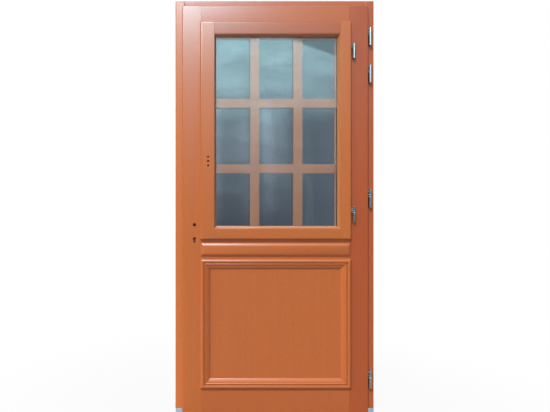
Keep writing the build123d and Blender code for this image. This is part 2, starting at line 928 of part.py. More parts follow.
# Raised bar on the middle rail, bevelled on all four sides
raised_bar_width = 2 * (opening_side + raised_bar_lap)
bar_middle = raised_bar_bottom + raised_bar_height / 2
bevel_angle = degrees(atan(raised_bar_bevel_width / raised_bar_bevel_depth))
with BuildPart() as raised_bar:
    with BuildSketch(Plane.XZ.offset(-leaf_front)):
        with Locations((0, bar_middle)):
            Rectangle(raised_bar_width, raised_bar_height)
    extrude(amount=raised_bar_edge)
    with BuildSketch(Plane.XZ.offset(raised_bar_edge - leaf_front)):
        with Locations((0, bar_middle)):
            Rectangle(raised_bar_width, raised_bar_height)
    extrude(amount=raised_bar_bevel_depth, taper=bevel_angle)
save(raised_bar.part, "raised_bar")

# Weatherboard with a drip groove, clear of the frame's stops as the leaf swings
weatherboard_top = weatherboard_bottom + weatherboard_height
weatherboard_back = leaf_back + weatherboard_reach
with BuildPart() as weatherboard:
    with BuildSketch(Plane.YZ) as board_section:
        with BuildLine():
            Line((leaf_back, weatherboard_bottom), (leaf_back, weatherboard_top))
            SagittaArc(
                (leaf_back, weatherboard_top),
                (weatherboard_back, weatherboard_bottom + weatherboard_nose),
                -weatherboard_nose / 2,
            )
            Polyline(
                (weatherboard_back, weatherboard_bottom + weatherboard_nose),
                (weatherboard_back, weatherboard_bottom),
                (leaf_back, weatherboard_bottom),
            )
        make_face()
        with Locations((weatherboard_back - 2 * drip_width, weatherboard_bottom)):
            Rectangle(drip_width, 2 * drip_depth, mode=Mode.SUBTRACT)
    extrude(amount=jamb_stop - weatherboard_end_gap, both=True)
save(weatherboard.part, "weatherboard")

# Seal between the sash and the leaf
with BuildPart() as sash_seal:
    sash_seal_channel(Mode.ADD)
    bulb = ring(
        -sash_seal_x, sash_seal_x, sash_seal_bottom, sash_seal_top,
        seal_bulb_width, leaf_stop_front, -(sash_seal_gap - seal_touch_gap),
    )
    add(bulb)
    soft_edges = sash_seal.edges().filter_by(
        lambda edge: abs(edge.center().Y - (sash_back + seal_touch_gap)) < 0.01
    )
    fillet(soft_edges, (sash_seal_gap - seal_touch_gap) * seal_roundness)
save(sash_seal.part, "sash_seal")


def knuckle(x, y, low, length, radius, pin_radius, bore_from_below):
    """A plain knuckle with a blind bore for the pin and a bevel on its closed end."""
    with BuildPart() as piece:
        with Locations((x, y, low + length / 2)):
            Cylinder(radius, length)
        ends = piece.edges().filter_by(GeomType.CIRCLE).sort_by(Axis.Z)
        chamfer(ends[-1] if bore_from_below else ends[0], knuckle_bevel)
        depth = length - pin_end_cover
        start = low if bore_from_below else low + pin_end_cover
        add(
            flat_sided_bar(
                (x, y, start), (0, 0, 1), pin_radius + running_clearance, depth, pin_sides, bore=True
            ),
            mode=Mode.SUBTRACT,
        )
    return piece.part


def stems(x, y, heights, direction, radius, length, knuckle_radius):
    """Stems that leave the wall of a knuckle and run into the wood."""
    start = Vector(x, y, 0) + Vector(*direction) * (knuckle_radius - knuckle_bevel)
    reach = length - knuckle_radius + knuckle_bevel
    with BuildPart() as piece:
        for height in heights:
            add(stem((start.X, start.Y, height), direction, radius, reach))
    return piece.part


def hinge(x, y, centre, length, upper, radius, pin_radius, stem_sets):
    """Lower knuckle, upper knuckle and the pin of one hinge with the washer on it.

    Each stem set is a direction, a radius and a length, first for the lower knuckle.
    """
    low = centre - length / 2
    lower = length - upper - knuckle_ring
    upper_low = low + lower + knuckle_ring
    (lower_way, lower_radius, lower_reach), (upper_way, upper_radius, upper_reach) = stem_sets
    with BuildPart() as lower_knuckle:
        add(knuckle(x, y, low, lower, radius, pin_radius, bore_from_below=False))
        heights = lower_stem_heights(centre, length, lower)
        add(stems(x, y, heights, lower_way, lower_radius, lower_reach, radius))
    with BuildPart() as upper_knuckle:
        add(knuckle(x, y, upper_low, upper, radius, pin_radius, bore_from_below=True))
        heights = upper_stem_heights(centre, length, upper)
        add(stems(x, y, heights, upper_way, upper_radius, upper_reach, radius))
    with BuildPart() as pin:
        pin_low = low + pin_end_cover
        pin_high = centre + length / 2 - pin_end_cover - tenon_end_play
        add(flat_sided_bar((x, y, pin_low), (0, 0, 1), pin_radius, pin_high - pin_low, pin_sides))
    with BuildPart() as washer:
        thickness = knuckle_ring - ring_gap
        round_bar((x, y, low + lower), (0, 0, 1), radius - ring_setback, thickness)
        bore = flat_sided_bar(
            (x, y, low + lower), (0, 0, 1), pin_radius + running_clearance, thickness,
            pin_sides, bore=True,
        )
        add(bore, mode=Mode.SUBTRACT)
    return lower_knuckle.part, upper_knuckle.part, [pin.part, washer.part]


hinge_names = ("top", "second", "middle", "foot")
leaf_pins = []
for place, centre in zip(hinge_names, leaf_hinge_heights):
    lower, upper, pin_and_washer = hinge(
        leaf_axis_x, leaf_axis_y, centre, leaf_hinge_length, leaf_hinge_upper,
        leaf_hinge_radius, leaf_pin_radius,
        (
            ((0, 1, 0), leaf_stem_radius, frame_stem_length),
            ((-1, 0, 0), leaf_stem_radius, leaf_stem_length),
        ),
    )
    save(lower, f"frame_knuckle_{place}")
    save(upper, f"leaf_knuckle_{place}")
    leaf_pins.extend(pin_and_washer)
save(Compound(children=leaf_pins), "leaf_hinge_pins")

sash_pins = []
for place, centre in zip(("top", "foot"), sash_hinge_heights):
    lower, upper, pin_and_washer = hinge(
        sash_axis_x, sash_axis_y, centre, sash_hinge_length, sash_hinge_upper,
        sash_hinge_radius, sash_pin_radius,
        (
            ((0, 1, 0), sash_stem_radius, leaf_sash_stem_length),
            ((-1, 0, 0), sash_stem_radius, sash_stem_length),
        ),
    )
    save(lower, f"sash_hinge_lower_{place}")
    save(upper, f"sash_hinge_upper_{place}")
    sash_pins.extend(pin_and_washer)
save(Compound(children=sash_pins), "sash_hinge_pins")

# Mortise lock: open case and cover, with the follower, latch and bolt that move in it
cavity_y = (case_front + lock_case_wall, case_back - lock_case_wall)
bolt_y = (cavity_y[0] + lock_play, cavity_y[1] - lock_play)
latch_z_span = (latch_z - latch_height / 2, latch_z + latch_height / 2)
bolt_z_span = (bolt_z - latch_bolt_height / 2, bolt_z + latch_bolt_height / 2)


def bolt_openings(x):
    """Openings for the latch and the bolt through a plate between two values on X."""
    for low, high in (latch_z_span, bolt_z_span):
        block(
            x, (bolt_y[0] - lock_play, bolt_y[1] + lock_play),
            (low - lock_play, high + lock_play), mode=Mode.SUBTRACT,
        )


with BuildPart() as lock_case:
    block((case_outer, case_inner), (case_front, cavity_y[1]), (lock_bottom, lock_top))
    block(
        (case_outer + lock_case_wall, case_inner - lock_case_wall),
        cavity_y,
        (lock_bottom + lock_case_wall, lock_top - lock_case_wall),
        mode=Mode.SUBTRACT,
    )
    bolt_openings((case_outer, case_outer + lock_case_wall))
    round_bar(
        (lock_x, case_front, spindle_height), (0, 1, 0),
        spindle_hole_radius + running_clearance, lock_case_wall, mode=Mode.SUBTRACT,
    )
    add(cylinder_hole(case_front, lock_case_thickness, lock_play), mode=Mode.SUBTRACT)
save(lock_case.part, "lock_case")

with BuildPart() as lock_cover:
    block((case_outer, case_inner), (cavity_y[1], case_back), (lock_bottom, lock_top))
    round_bar(
        (lock_x, cavity_y[1], spindle_height), (0, 1, 0),
        spindle_hole_radius + running_clearance, lock_case_wall, mode=Mode.SUBTRACT,
    )
    add(cylinder_hole(case_front, lock_case_thickness, lock_play), mode=Mode.SUBTRACT)
save(lock_cover.part, "lock_cover")

with BuildPart() as lock_faceplate:
    block((-body_side, case_outer), plate_y, (plate_low, plate_high))
    fillet(lock_faceplate.edges().filter_by(Axis.X), plate_corner)
    bolt_openings((-body_side, case_outer))
    for height in lock_screw_heights:
        add(countersunk_screw(-body_side, 1, height), mode=Mode.SUBTRACT)
save(lock_faceplate.part, "lock_faceplate")
with BuildPart() as lock_screws:
    for height in lock_screw_heights:
        add(countersunk_screw(-body_side, 1, height))
save(lock_screws.part, "lock_screws")

with BuildPart() as lock_follower:
    round_bar((lock_x, bolt_y[0], spindle_height), (0, 1, 0), follower_radius,
              bolt_y[1] - bolt_y[0])
    round_bar((lock_x, case_front, spindle_height), (0, 1, 0), spindle_hole_radius,
              lock_case_thickness)
    block(
        (lock_x - follower_tip_radius, lock_x + follower_tip_radius),
        bolt_y,
        (spindle_height, spindle_height + follower_arm),
    )
    round_bar((lock_x, bolt_y[0], spindle_height + follower_arm), (0, 1, 0),
              follower_tip_radius, bolt_y[1] - bolt_y[0])
    block(
        (lock_x - follower_square / 2, lock_x + follower_square / 2),
        (case_front, case_back),
        (spindle_height - follower_square / 2, spindle_height + follower_square / 2),
        mode=Mode.SUBTRACT,
    )
save(lock_follower.part, "lock_follower")

latch_tip = -body_side - latch_throw
tail_low = spindle_height + follower_arm + follower_tip_radius + latch_tail_rise
lug_face = lock_x + follower_tip_radius + follower_tip_gap
with BuildPart() as latch_bolt:
    block((latch_tip, latch_tip + latch_head_length), bolt_y, latch_z_span)
    chamfer(edges_at(latch_bolt, Axis.Z, X=latch_tip, Y=bolt_y[1]), latch_bevel)
    block(
        (latch_tip + latch_head_length, lug_face + latch_lug_width), bolt_y,
        (tail_low, tail_low + latch_tail_height),
    )
    block((lug_face, lug_face + latch_lug_width), bolt_y, (spindle_height + follower_radius
          + latch_tail_rise, tail_low))
save(latch_bolt.part, "latch_bolt")

with BuildPart() as deadbolt:
    block((-body_side, -body_side + bolt_length), bolt_y, bolt_z_span)
    fillet(edges_at(deadbolt, Axis.Z, X=-body_side), bolt_nose)
    notch_start = -body_side + bolt_length / 2
    block(
        (notch_start, notch_start + bolt_notch_width), bolt_y,
        (bolt_z_span[0], bolt_z_span[0] + bolt_notch_depth), mode=Mode.SUBTRACT,
    )
save(deadbolt.part, "deadbolt")

# Keeps for the sash's rollers, in the lock stile
hook_back = gear_y - roller_radius - keep_hook_gap
with BuildPart() as sash_keeps:
    for height in roller_heights:
        block(
            (keep_back, keep_floor), (leaf_front, keep_inner),
            (height - keep_length / 2, height + keep_length / 2),
        )
        block(
            (keep_floor, -opening_side), (hook_back - keep_hook_thickness, hook_back),
            (height - rod_travel - roller_radius, height - roller_radius - keep_floor_gap),
        )
save(sash_keeps.part, "sash_keeps")


def sash_stile(side, glass_x):
    """A sash stile: lip over the leaf, rebate for the glass, and an outer lip behind it."""
    sight_x = glass_x - side * glass_bead_width
    with BuildPart() as stile:
        with BuildSketch(Plane.XY.offset(sash_bottom)):
            outline(
                [
                    (side * sash_lip_side, sash_front),
                    (glass_x, sash_front),
                    (glass_x, glass_back),
                    (sight_x, glass_back),
                    (sight_x, sash_back),
                    (side * sash_body_side, sash_back),
                    (side * sash_body_side, sash_lip_back),
                    (side * sash_lip_side, sash_lip_back),
                ]
            )
        extrude(amount=sash_top - sash_bottom)
        fillet(
            edges_at(stile, Axis.Z, X=side * sash_lip_side, Y=sash_front)
            + edges_at(stile, Axis.X, Y=sash_front),
            sash_arris,
        )
        for ends in ((sash_bottom, sash_body_bottom), (sash_body_top, sash_top)):
            block(
                (sight_x, side * sash_lip_side), (sash_lip_back, sash_back), ends,
                mode=Mode.SUBTRACT,
            )
        for tenon_z in (sash_top_tenon_z, sash_bottom_tenon_z):
            tenons(
                (glass_left, glass_right), tenon_z, sash_tenon_y, sash_tenon_thickness,
                sash_tenon_length, ends=(side,), play=tenon_play, mode=Mode.SUBTRACT,
            )
    return stile.part


def sash_rail(outer, body, glass, sight, tenon_z):
    """A sash rail between the stiles, given the heights of its lip, body, rebate and sight."""
    with BuildPart() as rail:
        with BuildSketch(Plane.YZ.offset(glass_left)):
            outline(
                [
                    (sash_front, glass),
                    (sash_front, outer),
                    (sash_lip_back, outer),
                    (sash_lip_back, body),
                    (sash_back, body),
                    (sash_back, sight),
                    (glass_back, sight),
                    (glass_back, glass),
                ]
            )
        extrude(amount=glass_right - glass_left)
        fillet(edges_at(rail, Axis.X, Y=sash_front, Z=outer), sash_arris)
        for end_x, way in ((glass_left, 1), (glass_right, -1)):
            block(
                (end_x, end_x + way * glass_bead_width), (glass_back, sash_back), (outer, sight),
                mode=Mode.SUBTRACT,
            )
        tenons(
            (glass_left, glass_right), tenon_z, sash_tenon_y, sash_tenon_thickness,
            sash_tenon_length,
        )
    return rail.part


# Handle stile: grooved for the face plate and rod, mortised for the gearbox
sash_plate_low = sash_body_bottom + sash_plate_end
sash_plate_high = sash_body_top - sash_plate_end
rod_back = gear_outer + rod_thickness
box_outer = rod_back + lock_play
box_inner = gear_outer + gearbox_depth
box_y = (gear_y - gearbox_thickness / 2, gear_y + gearbox_thickness / 2)
box_z = (handle_height - gearbox_height / 2, handle_height + gearbox_height / 2)
handle_screw_heights = (
    handle_height - handle_screw_spacing / 2,
    handle_height + handle_screw_spacing / 2,
)
with BuildPart() as sash_stile_handle:
    add(sash_stile(-1, glass_left))
    block(
        (-sash_body_side, rod_back + lock_play),
        (gear_y - sash_plate_width / 2, gear_y + sash_plate_width / 2),
        (sash_plate_low, sash_plate_high),
        mode=Mode.SUBTRACT,
    )
    block(
        (rod_back, box_inner + lock_play),
        (box_y[0] - lock_play, box_y[1] + lock_play),
        (box_z[0] - lock_play, box_z[1] + lock_play),
        mode=Mode.SUBTRACT,
    )
    round_bar(
        (gear_x, sash_front, handle_height), (0, 1, 0),
        handle_hub_hole_radius, gear_y - sash_front, mode=Mode.SUBTRACT,
    )
    for height in handle_screw_heights:
        round_bar(
            (gear_x, sash_front, height), (0, 1, 0),
            handle_screw_hole_radius, box_y[0] - sash_front, mode=Mode.SUBTRACT,
        )
save(sash_stile_handle.part, "sash_stile_handle")

# Hinge stile of the sash: bored for the stems of the upper knuckles
with BuildPart() as sash_stile_hinge:
    add(sash_stile(1, glass_right))
    for centre in sash_hinge_heights:
        for height in upper_stem_heights(centre, sash_hinge_length, sash_hinge_upper):
            bore = stem(
                (sash_axis_x, sash_axis_y, height), (-1, 0, 0),
                sash_stem_radius + running_clearance, sash_stem_length + tenon_end_play,
            )
            add(bore, mode=Mode.SUBTRACT)
save(sash_stile_hinge.part, "sash_stile_hinge")

sight_top = glass_top - glass_bead_width
sight_bottom = glass_bottom + glass_bead_width
save(
    sash_rail(sash_top, sash_body_top, glass_top, sight_top, sash_top_tenon_z),
    "sash_top_rail",
)
save(
    sash_rail(sash_bottom, sash_body_bottom, glass_bottom, sight_bottom, sash_bottom_tenon_z),
    "sash_bottom_rail",
)

glazing_beads = mitred_sides(
    glass_bead_profile(), glass_left, glass_right, glass_bottom, glass_top
)
for place, piece in glazing_beads.items():
    save(piece, f"glazing_bead_{place}")

# Sealed unit
pane_x = (glass_left + glass_edge_gap, glass_right - glass_edge_gap)
pane_z = (glass_bottom + glass_edge_gap, glass_top - glass_edge_gap)
cavity_front = glass_front + pane_thickness
cavity_back = cavity_front + pane_cavity
with BuildPart() as inner_pane:
    block(pane_x, (glass_front, cavity_front), pane_z)
save(inner_pane.part, "inner_pane")

with BuildPart() as outer_pane:
    block(pane_x, (cavity_back, glass_back), pane_z)
save(outer_pane.part, "outer_pane")

spacer_inset = spacer_width / 2
unit_spacer = ring(
    pane_x[0] + spacer_inset, pane_x[1] - spacer_inset,
    pane_z[0] + spacer_inset, pane_z[1] - spacer_inset,
    spacer_width, cavity_front, pane_cavity,
)
save(unit_spacer, "unit_spacer")

# Bars between the panes: two uprights crossed by two level bars
clear_x = (pane_x[0] + spacer_width, pane_x[1] - spacer_width)
clear_z = (pane_z[0] + spacer_width, pane_z[1] - spacer_width)
column = (clear_x[1] - clear_x[0] - 2 * glazing_bar_width) / 3
upright_x = (
    clear_x[0] + column + glazing_bar_width / 2,
    clear_x[1] - column - glazing_bar_width / 2,
)
lower_bar_z = clear_z[0] + pane_row_low + glazing_bar_width / 2
level_z = (lower_bar_z, lower_bar_z + pane_row_middle + glazing_bar_width)
bars_front = cavity_front + (pane_cavity - glazing_bar_thickness) / 2
with BuildPart() as glazing_bars:
    with BuildSketch(Plane.XZ.offset(-bars_front)):
        with Locations(*[(x, (clear_z[0] + clear_z[1]) / 2) for x in upright_x]):
            Rectangle(glazing_bar_width, clear_z[1] - clear_z[0])
        with Locations(*[((clear_x[0] + clear_x[1]) / 2, z) for z in level_z]):
            Rectangle(clear_x[1] - clear_x[0], glazing_bar_width)
    extrude(amount=-glazing_bar_thickness)
save(glazing_bars.part, "glazing_bars")

# Espagnolette
with BuildPart() as sash_gearbox:
    block((box_outer, box_inner), box_y, box_z)
    block(
        (box_outer, box_inner - gearbox_wall),
        (box_y[0] + gearbox_wall, box_y[1] - gearbox_wall),
        (box_z[0] + gearbox_wall, box_z[1] - gearbox_wall),
        mode=Mode.SUBTRACT,
    )
    round_bar(
        (gear_x, box_y[0], handle_height), (0, 1, 0),
        hub_journal_radius + running_clearance, gearbox_thickness, mode=Mode.SUBTRACT,
    )
    for height in handle_screw_heights:
        round_bar(
            (gear_x, box_y[0], height), (0, 1, 0),
            handle_thread_radius, gearbox_wall, mode=Mode.SUBTRACT,
        )
save(sash_gearbox.part, "sash_gearbox")

# The hub's pinion drives the rack on the rod: a quarter turn is a whole number of teeth
gear_span = (box_y[0] + gearbox_wall + lock_play, box_y[1] - gearbox_wall - lock_play)
tooth_angle = 360 / pinion_teeth
tooth_pitch = 2 * pi * pinion_radius / pinion_teeth


def pinion_outline():
    """Corners of the pinion, with one tooth pointing away from the rod and one at its gap."""
    corners = []
    for tooth in range(pinion_teeth):
        for distance, share in (
            (-tooth_root_depth, -pinion_root_share),
            (tooth_tip_height, -pinion_tip_share),
            (tooth_tip_height, pinion_tip_share),
            (-tooth_root_depth, pinion_root_share),
        ):
            turn = radians((tooth + share) * tooth_angle)
            reach = pinion_radius + distance
            corners.append((gear_x + reach * cos(turn), handle_height + reach * sin(turn)))
    return corners


def rack_tooth(height):
    """Corners of one tooth of the rack, on the side of the rod that faces the pinion."""
    half = tooth_pitch / 4 - rack_play
    slope = tan(radians(rack_flank_angle))
    root, tip = half + tooth_root_depth * slope, half - tooth_tip_height * slope
    return [
        (rack_root, height - root),
        (rack_face + tooth_tip_height, height - tip),
        (rack_face + tooth_tip_height, height + tip),
        (rack_root, height + root),
    ]


with BuildPart() as sash_hub:
    with BuildSketch(Plane.XZ.offset(-gear_span[0])):
        outline(pinion_outline())
    extrude(amount=gear_span[0] - gear_span[1])
    round_bar((gear_x, box_y[0], handle_height), (0, 1, 0),
              hub_journal_radius, gearbox_thickness)
    round_bar((gear_x, sash_front + hub_sunk, handle_height), (0, 1, 0),
              hub_radius, box_y[0] - sash_front - hub_sunk)
    block(
        (gear_x - hub_square / 2, gear_x + hub_square / 2),
        (sash_front + hub_sunk, box_y[1]),
        (handle_height - hub_square / 2, handle_height + hub_square / 2),
        mode=Mode.SUBTRACT,
    )
save(sash_hub.part, "sash_hub")

rod_low = sash_plate_low + rod_end
rod_high = sash_plate_high - rod_end
rack_middle = handle_height + rod_travel / 2
with BuildPart() as drive_rod:
    block(
        (gear_outer, rod_back), (gear_y - rod_width / 2, gear_y + rod_width / 2),
        (rod_low, rod_high),
    )
    block(
        (rod_back, rack_root), gear_span,
        (rack_middle - rack_length / 2, rack_middle + rack_length / 2),
    )
    with BuildSketch(Plane.XZ.offset(-gear_span[0])):
        for step in range(-rack_teeth_below, rack_teeth_above):
            outline(rack_tooth(handle_height + (step + 0.5) * tooth_pitch))
    extrude(amount=gear_span[0] - gear_span[1])
    for height in roller_heights:
        round_bar((gear_outer, gear_y, height), (-1, 0, 0), roller_radius,
                  gear_outer - roller_tip)
save(drive_rod.part, "drive_rod")

slot_half = roller_radius + roller_slot_play
with BuildPart() as sash_faceplate:
    block(
        (-sash_body_side, gear_outer),
        (gear_y - sash_plate_width / 2, gear_y + sash_plate_width / 2),
        (sash_plate_low, sash_plate_high),
    )
    for height in roller_heights:
        block(
            (-sash_body_side, gear_outer),
            (gear_y - slot_half, gear_y + slot_half),
            (height - rod_travel - slot_half, height + slot_half),
            mode=Mode.SUBTRACT,
        )
save(sash_faceplate.part, "sash_faceplate")
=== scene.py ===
"""Front door with an opening window: its finishes, fittings and studio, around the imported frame."""

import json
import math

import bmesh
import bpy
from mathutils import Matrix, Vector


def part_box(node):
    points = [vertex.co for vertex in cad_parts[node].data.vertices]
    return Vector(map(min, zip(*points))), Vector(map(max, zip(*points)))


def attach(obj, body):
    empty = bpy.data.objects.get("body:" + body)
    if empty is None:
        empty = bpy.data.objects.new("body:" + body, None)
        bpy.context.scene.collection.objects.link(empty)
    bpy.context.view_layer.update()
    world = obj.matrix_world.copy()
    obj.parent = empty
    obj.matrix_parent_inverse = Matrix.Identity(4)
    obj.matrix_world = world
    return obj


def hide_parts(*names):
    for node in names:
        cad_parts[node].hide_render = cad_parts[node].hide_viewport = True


bl_info = {
    "name": "Panelled front door",
    "version": (1, 0, 0),
    "blender": (4, 5, 0),
    "location": "View3D > Sidebar > Front door",
    "description": "Finishes a stained timber front door, its opening window and its fittings",
    "category": "Object",
}

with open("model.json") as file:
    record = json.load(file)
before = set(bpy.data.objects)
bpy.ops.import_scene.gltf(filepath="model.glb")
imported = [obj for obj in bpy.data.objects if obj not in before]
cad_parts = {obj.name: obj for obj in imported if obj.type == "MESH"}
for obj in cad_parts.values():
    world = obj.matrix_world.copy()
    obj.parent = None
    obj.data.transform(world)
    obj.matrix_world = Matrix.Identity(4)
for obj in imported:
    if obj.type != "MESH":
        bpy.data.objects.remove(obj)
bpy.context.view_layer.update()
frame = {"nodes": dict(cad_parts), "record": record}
RECORD = frame["record"]
BODY_OF = {
    node_name: body
    for body, members in RECORD["behaviour"]["bodies"].items()
    for node_name in members
}
JOINT_AT = {joint["name"]: joint.get("pos_m") for joint in RECORD["behaviour"]["joints"]}
MOUNT_AT = {mount["name"]: Vector(mount["pos_m"]) for mount in RECORD["mounts"]}

WELD_DISTANCE = 1e-6
FLAT_ANGLE = math.radians(0.5)
SHARP_ANGLE = math.radians(38.0)
QUARTER_TURN = math.radians(90.0)
FACING_LIMIT = 0.5
HALF_EDGE = 0.5
DOOR_MIDDLE = (0.0, 0.0, 1.1)
WHITE = (1.0, 1.0, 1.0)
SIDES = ("lock", "top", "hinge", "bottom")
LEVEL_SIDES = ("top", "bottom")


# Settings

def colour_setting(name, description, default):
    """A colour in the sidebar."""
    return bpy.props.FloatVectorProperty(
        name=name, description=description, subtype="COLOR", size=3, min=0.0, max=1.0,
        default=default,
    )


def length_setting(name, description, default, least=0.0):
    """A length in metres in the sidebar."""
    return bpy.props.FloatProperty(
        name=name, description=description, subtype="DISTANCE", unit="LENGTH", min=least,
        default=default,
    )


def share_setting(name, description, default):
    """A number from 0 to 1 in the sidebar."""
    return bpy.props.FloatProperty(
        name=name, description=description, subtype="FACTOR", min=0.0, max=1.0, default=default
    )


def strength_setting(name, description, default):
    """The strength or power of a light in the sidebar."""
    return bpy.props.FloatProperty(name=name, description=description, min=0.0, default=default)


class TimberSettings(bpy.types.PropertyGroup):
    """Stain, figure and edges of the timber."""

    stain_light: colour_setting(
        "Light stain", "Colour of the early wood under the stain", (0.58, 0.154, 0.034)
    )
    stain_dark: colour_setting(
        "Dark stain", "Colour of the late wood under the stain", (0.54, 0.139, 0.029)
    )
    raw_wood: colour_setting(
        "Raw wood", "Colour of the cut wood inside the bored holes", (0.72, 0.42, 0.24)
    )
    ring_spacing: length_setting("Ring spacing", "Distance between growth rings", 0.014, 0.001)
    ribbon_width: length_setting(
        "Ribbon width", "Width of the soft ribbons in the figure", 0.022, 0.001
    )
    pore_length: length_setting(
        "Pore length", "Length of the open pores along the grain", 0.012, 0.001
    )
    edge_radius: length_setting("Edge", "Size of the eased edge on every length of timber", 0.001)
    roughness: share_setting("Roughness", "Roughness of the satin lacquer", 0.36)


class GlassSettings(bpy.types.PropertyGroup):
    """Panes and glazing bars."""

    glass_colour: colour_setting("Glass", "Tint of the float glass", (0.93, 0.97, 0.96))
    bar_colour: colour_setting("Bars", "Colour of the bars between the panes", (0.29, 0.088, 0.035))
    smudge: share_setting("Smudge", "Highest roughness that marks on the glass give it", 0.006)


class MetalSettings(bpy.types.PropertyGroup):
    """Metals, plastics and rubber of the fittings."""

    hinge_colour: colour_setting(
        "Hinges", "Colour of the bright plating on the hinges", (0.496, 0.490, 0.477)
    )
    zinc_colour: colour_setting(
        "Zinc", "Colour of the zinc plating on lock, keeps and screws", (0.66, 0.67, 0.65)
    )
    aluminium_colour: colour_setting("Aluminium", "Colour of the threshold", (0.76, 0.79, 0.83))
    spacer_colour: colour_setting(
        "Spacer", "Colour of the dark spacer between the panes", (0.10, 0.075, 0.060)
    )
    # Near black, for the shade deep in the holes: painted shade on the lock case, its cover, the
    # follower and the gearbox.
    case_shade_colour: colour_setting(
        "Case steel in painted shade", "Colour of the cases sunk into the timber", (0.055, 0.053, 0.050)
    )
    hub_colour: colour_setting(
        "Hub", "Colour of the plastic hub that the window handle turns", (0.66, 0.03, 0.02)
    )
    rubber_colour: colour_setting("Seals", "Colour of the rubber seals", (0.07, 0.035, 0.022))
    edge_radius: length_setting("Edge", "Size of the eased edge on metal pieces", 0.0003)
    screw_head_radius: length_setting(
        "Screw head", "Radius of the countersunk screw heads", 0.004, 0.0005
    )
    rib_pitch: length_setting(
        "Rib pitch", "Distance between the ribs on the threshold's nose", 0.0052, 0.001
    )


class StageSettings(bpy.types.PropertyGroup):
    """Lights and camera."""

    key_strength: strength_setting("Key", "Strength of the main light, high on the left", 2.75)
    side_strength: strength_setting("Side", "Strength of the low light on the left", 0.8)
    sheen_power: strength_setting(
        "Sheen", "Power of the light that only shows in the lacquer's gloss", 225.0
    )
    rear_power: strength_setting("Rear", "Power of the light behind the door", 140.0)
    sky_strength: strength_setting("Fill", "Strength of the light from all round", 0.2)
    lens: bpy.props.FloatProperty(
        name="Lens", description="Focal length of the camera in millimetres",
        min=10.0, default=32.4,
    )
    camera_place: bpy.props.FloatVectorProperty(
        name="Camera", description="Place of the camera", subtype="TRANSLATION",
        unit="LENGTH", size=3, default=(-0.559, -2.53, 1.045),
    )
    camera_shift: bpy.props.FloatProperty(
        name="Shift", description="Sideways shift of the lens", default=0.2017,
    )


# Node trees

def give(tree, socket, value):
    """Give a socket a value or a link."""
    if isinstance(value, bpy.types.NodeSocket):
        tree.links.new(value, socket)
    else:
        socket.default_value = value


def node(tree, kind, inputs=None, **settings):
    """Add a node with its settings and inputs."""
    made = tree.nodes.new(kind)
    for name, value in settings.items():
        setattr(made, name, value)
    for key, value in (inputs or {}).items():
        give(tree, made.inputs[key], value)
    return made


def output(tree, kind, inputs=None, **settings):
    """The first output of a new node."""
    return node(tree, kind, inputs, **settings).outputs[0]


def calc(tree, operation, first, second=0.0, clamp=False):
    """The result of one sum on two values."""
    return output(tree, "ShaderNodeMath", {0: first, 1: second}, operation=operation, use_clamp=clamp)


def times(tree, first, second):
    """The product of two values."""
    return calc(tree, "MULTIPLY", first, second)


def stretch(tree, vector, factors):
    """A vector with each of its parts multiplied by a factor."""
    return output(tree, "ShaderNodeVectorMath", {0: vector, 1: factors}, operation="MULTIPLY")


def squeezed(tree, place, share):
    """A place that draws a pattern out along Z, the more so the smaller the share."""
    return stretch(tree, place, vector_of(tree, 1.0, 1.0, share))


def ramp(tree, value, low, high, out_low=0.0, out_high=1.0, smooth=True):
    """A value that goes from one number to another between two limits."""
    return output(
        tree, "ShaderNodeMapRange",
        {"Value": value, "From Min": low, "From Max": high, "To Min": out_low, "To Max": out_high},
        interpolation_type="SMOOTHSTEP" if smooth else "LINEAR",
    )


def mix(tree, factor, first, second, blend="MIX"):
    """A blend of two colours."""
    made = node(
        tree, "ShaderNodeMix", {0: factor, 6: rgba(first), 7: rgba(second)},
        data_type="RGBA", blend_type=blend,
    )
    return made.outputs[2]


def rgba(colour):
    """A colour with its alpha, or the socket as it is."""
    if isinstance(colour, bpy.types.NodeSocket):
        return colour
    return (colour[0], colour[1], colour[2], 1.0)


def noise(tree, vector, scale, detail=2.0, roughness=0.5):
    """A noise pattern between 0 and 1."""
    return output(
        tree, "ShaderNodeTexNoise",
        {"Vector": vector, "Scale": scale, "Detail": detail, "Roughness": roughness},
    )


def vector_of(tree, x, y, z):
    """A vector of three values."""
    return output(tree, "ShaderNodeCombineXYZ", {0: x, 1: y, 2: z})


def grey(tree, value):
    """A grey of a given brightness."""
    return vector_of(tree, value, value, value)


def weighted(tree, *parts):
    """The sum of values, each times its weight, held between 0 and 1."""
    products = [times(tree, value, weight) for value, weight in parts]
    total = products[0]
    for product in products[1:]:
        total = calc(tree, "ADD", total, product, clamp=True)
    return total


def new_tree(name, kind, inputs, outputs):
    """A node group with named sockets, the values it is given and the results it takes."""
    tree = bpy.data.node_groups.new(name, kind)
    for label, socket, *default in inputs:
        made = tree.interface.new_socket(label, in_out="INPUT", socket_type="NodeSocket" + socket)
        if default:
            made.default_value = default[0]
    for label, socket in outputs:
        tree.interface.new_socket(label, in_out="OUTPUT", socket_type="NodeSocket" + socket)
    given, result = tree.nodes.new("NodeGroupInput"), tree.nodes.new("NodeGroupOutput")
    return tree, given.outputs, result.inputs


def new_material(name):
    """A material, its node tree and its shader."""
    material = bpy.data.materials.new(name)
    material.use_nodes = True
    return material, material.node_tree, material.node_tree.nodes["Principled BSDF"]


def feed(tree, shader, **inputs):
    """Give the shader's inputs values or links, with underscores for the spaces in names."""
    for label, value in inputs.items():
        give(tree, shader.inputs[label.replace("_", " ")], value)


def bumped(tree, shader, height, strength, distance):
    """Give the shader's surface the relief of a height."""
    bump = {"Strength": strength, "Distance": distance, "Height": height}
    feed(tree, shader, Normal=output(tree, "ShaderNodeBump", bump))


def surface_mix(tree, factor, first, second):
    """Make a mix of two shaders the material's surface."""
    both = node(tree, "ShaderNodeMixShader", {0: factor, 1: first.outputs[0], 2: second.outputs[0]})
    tree.links.new(both.outputs[0], tree.nodes["Material Output"].inputs["Surface"])


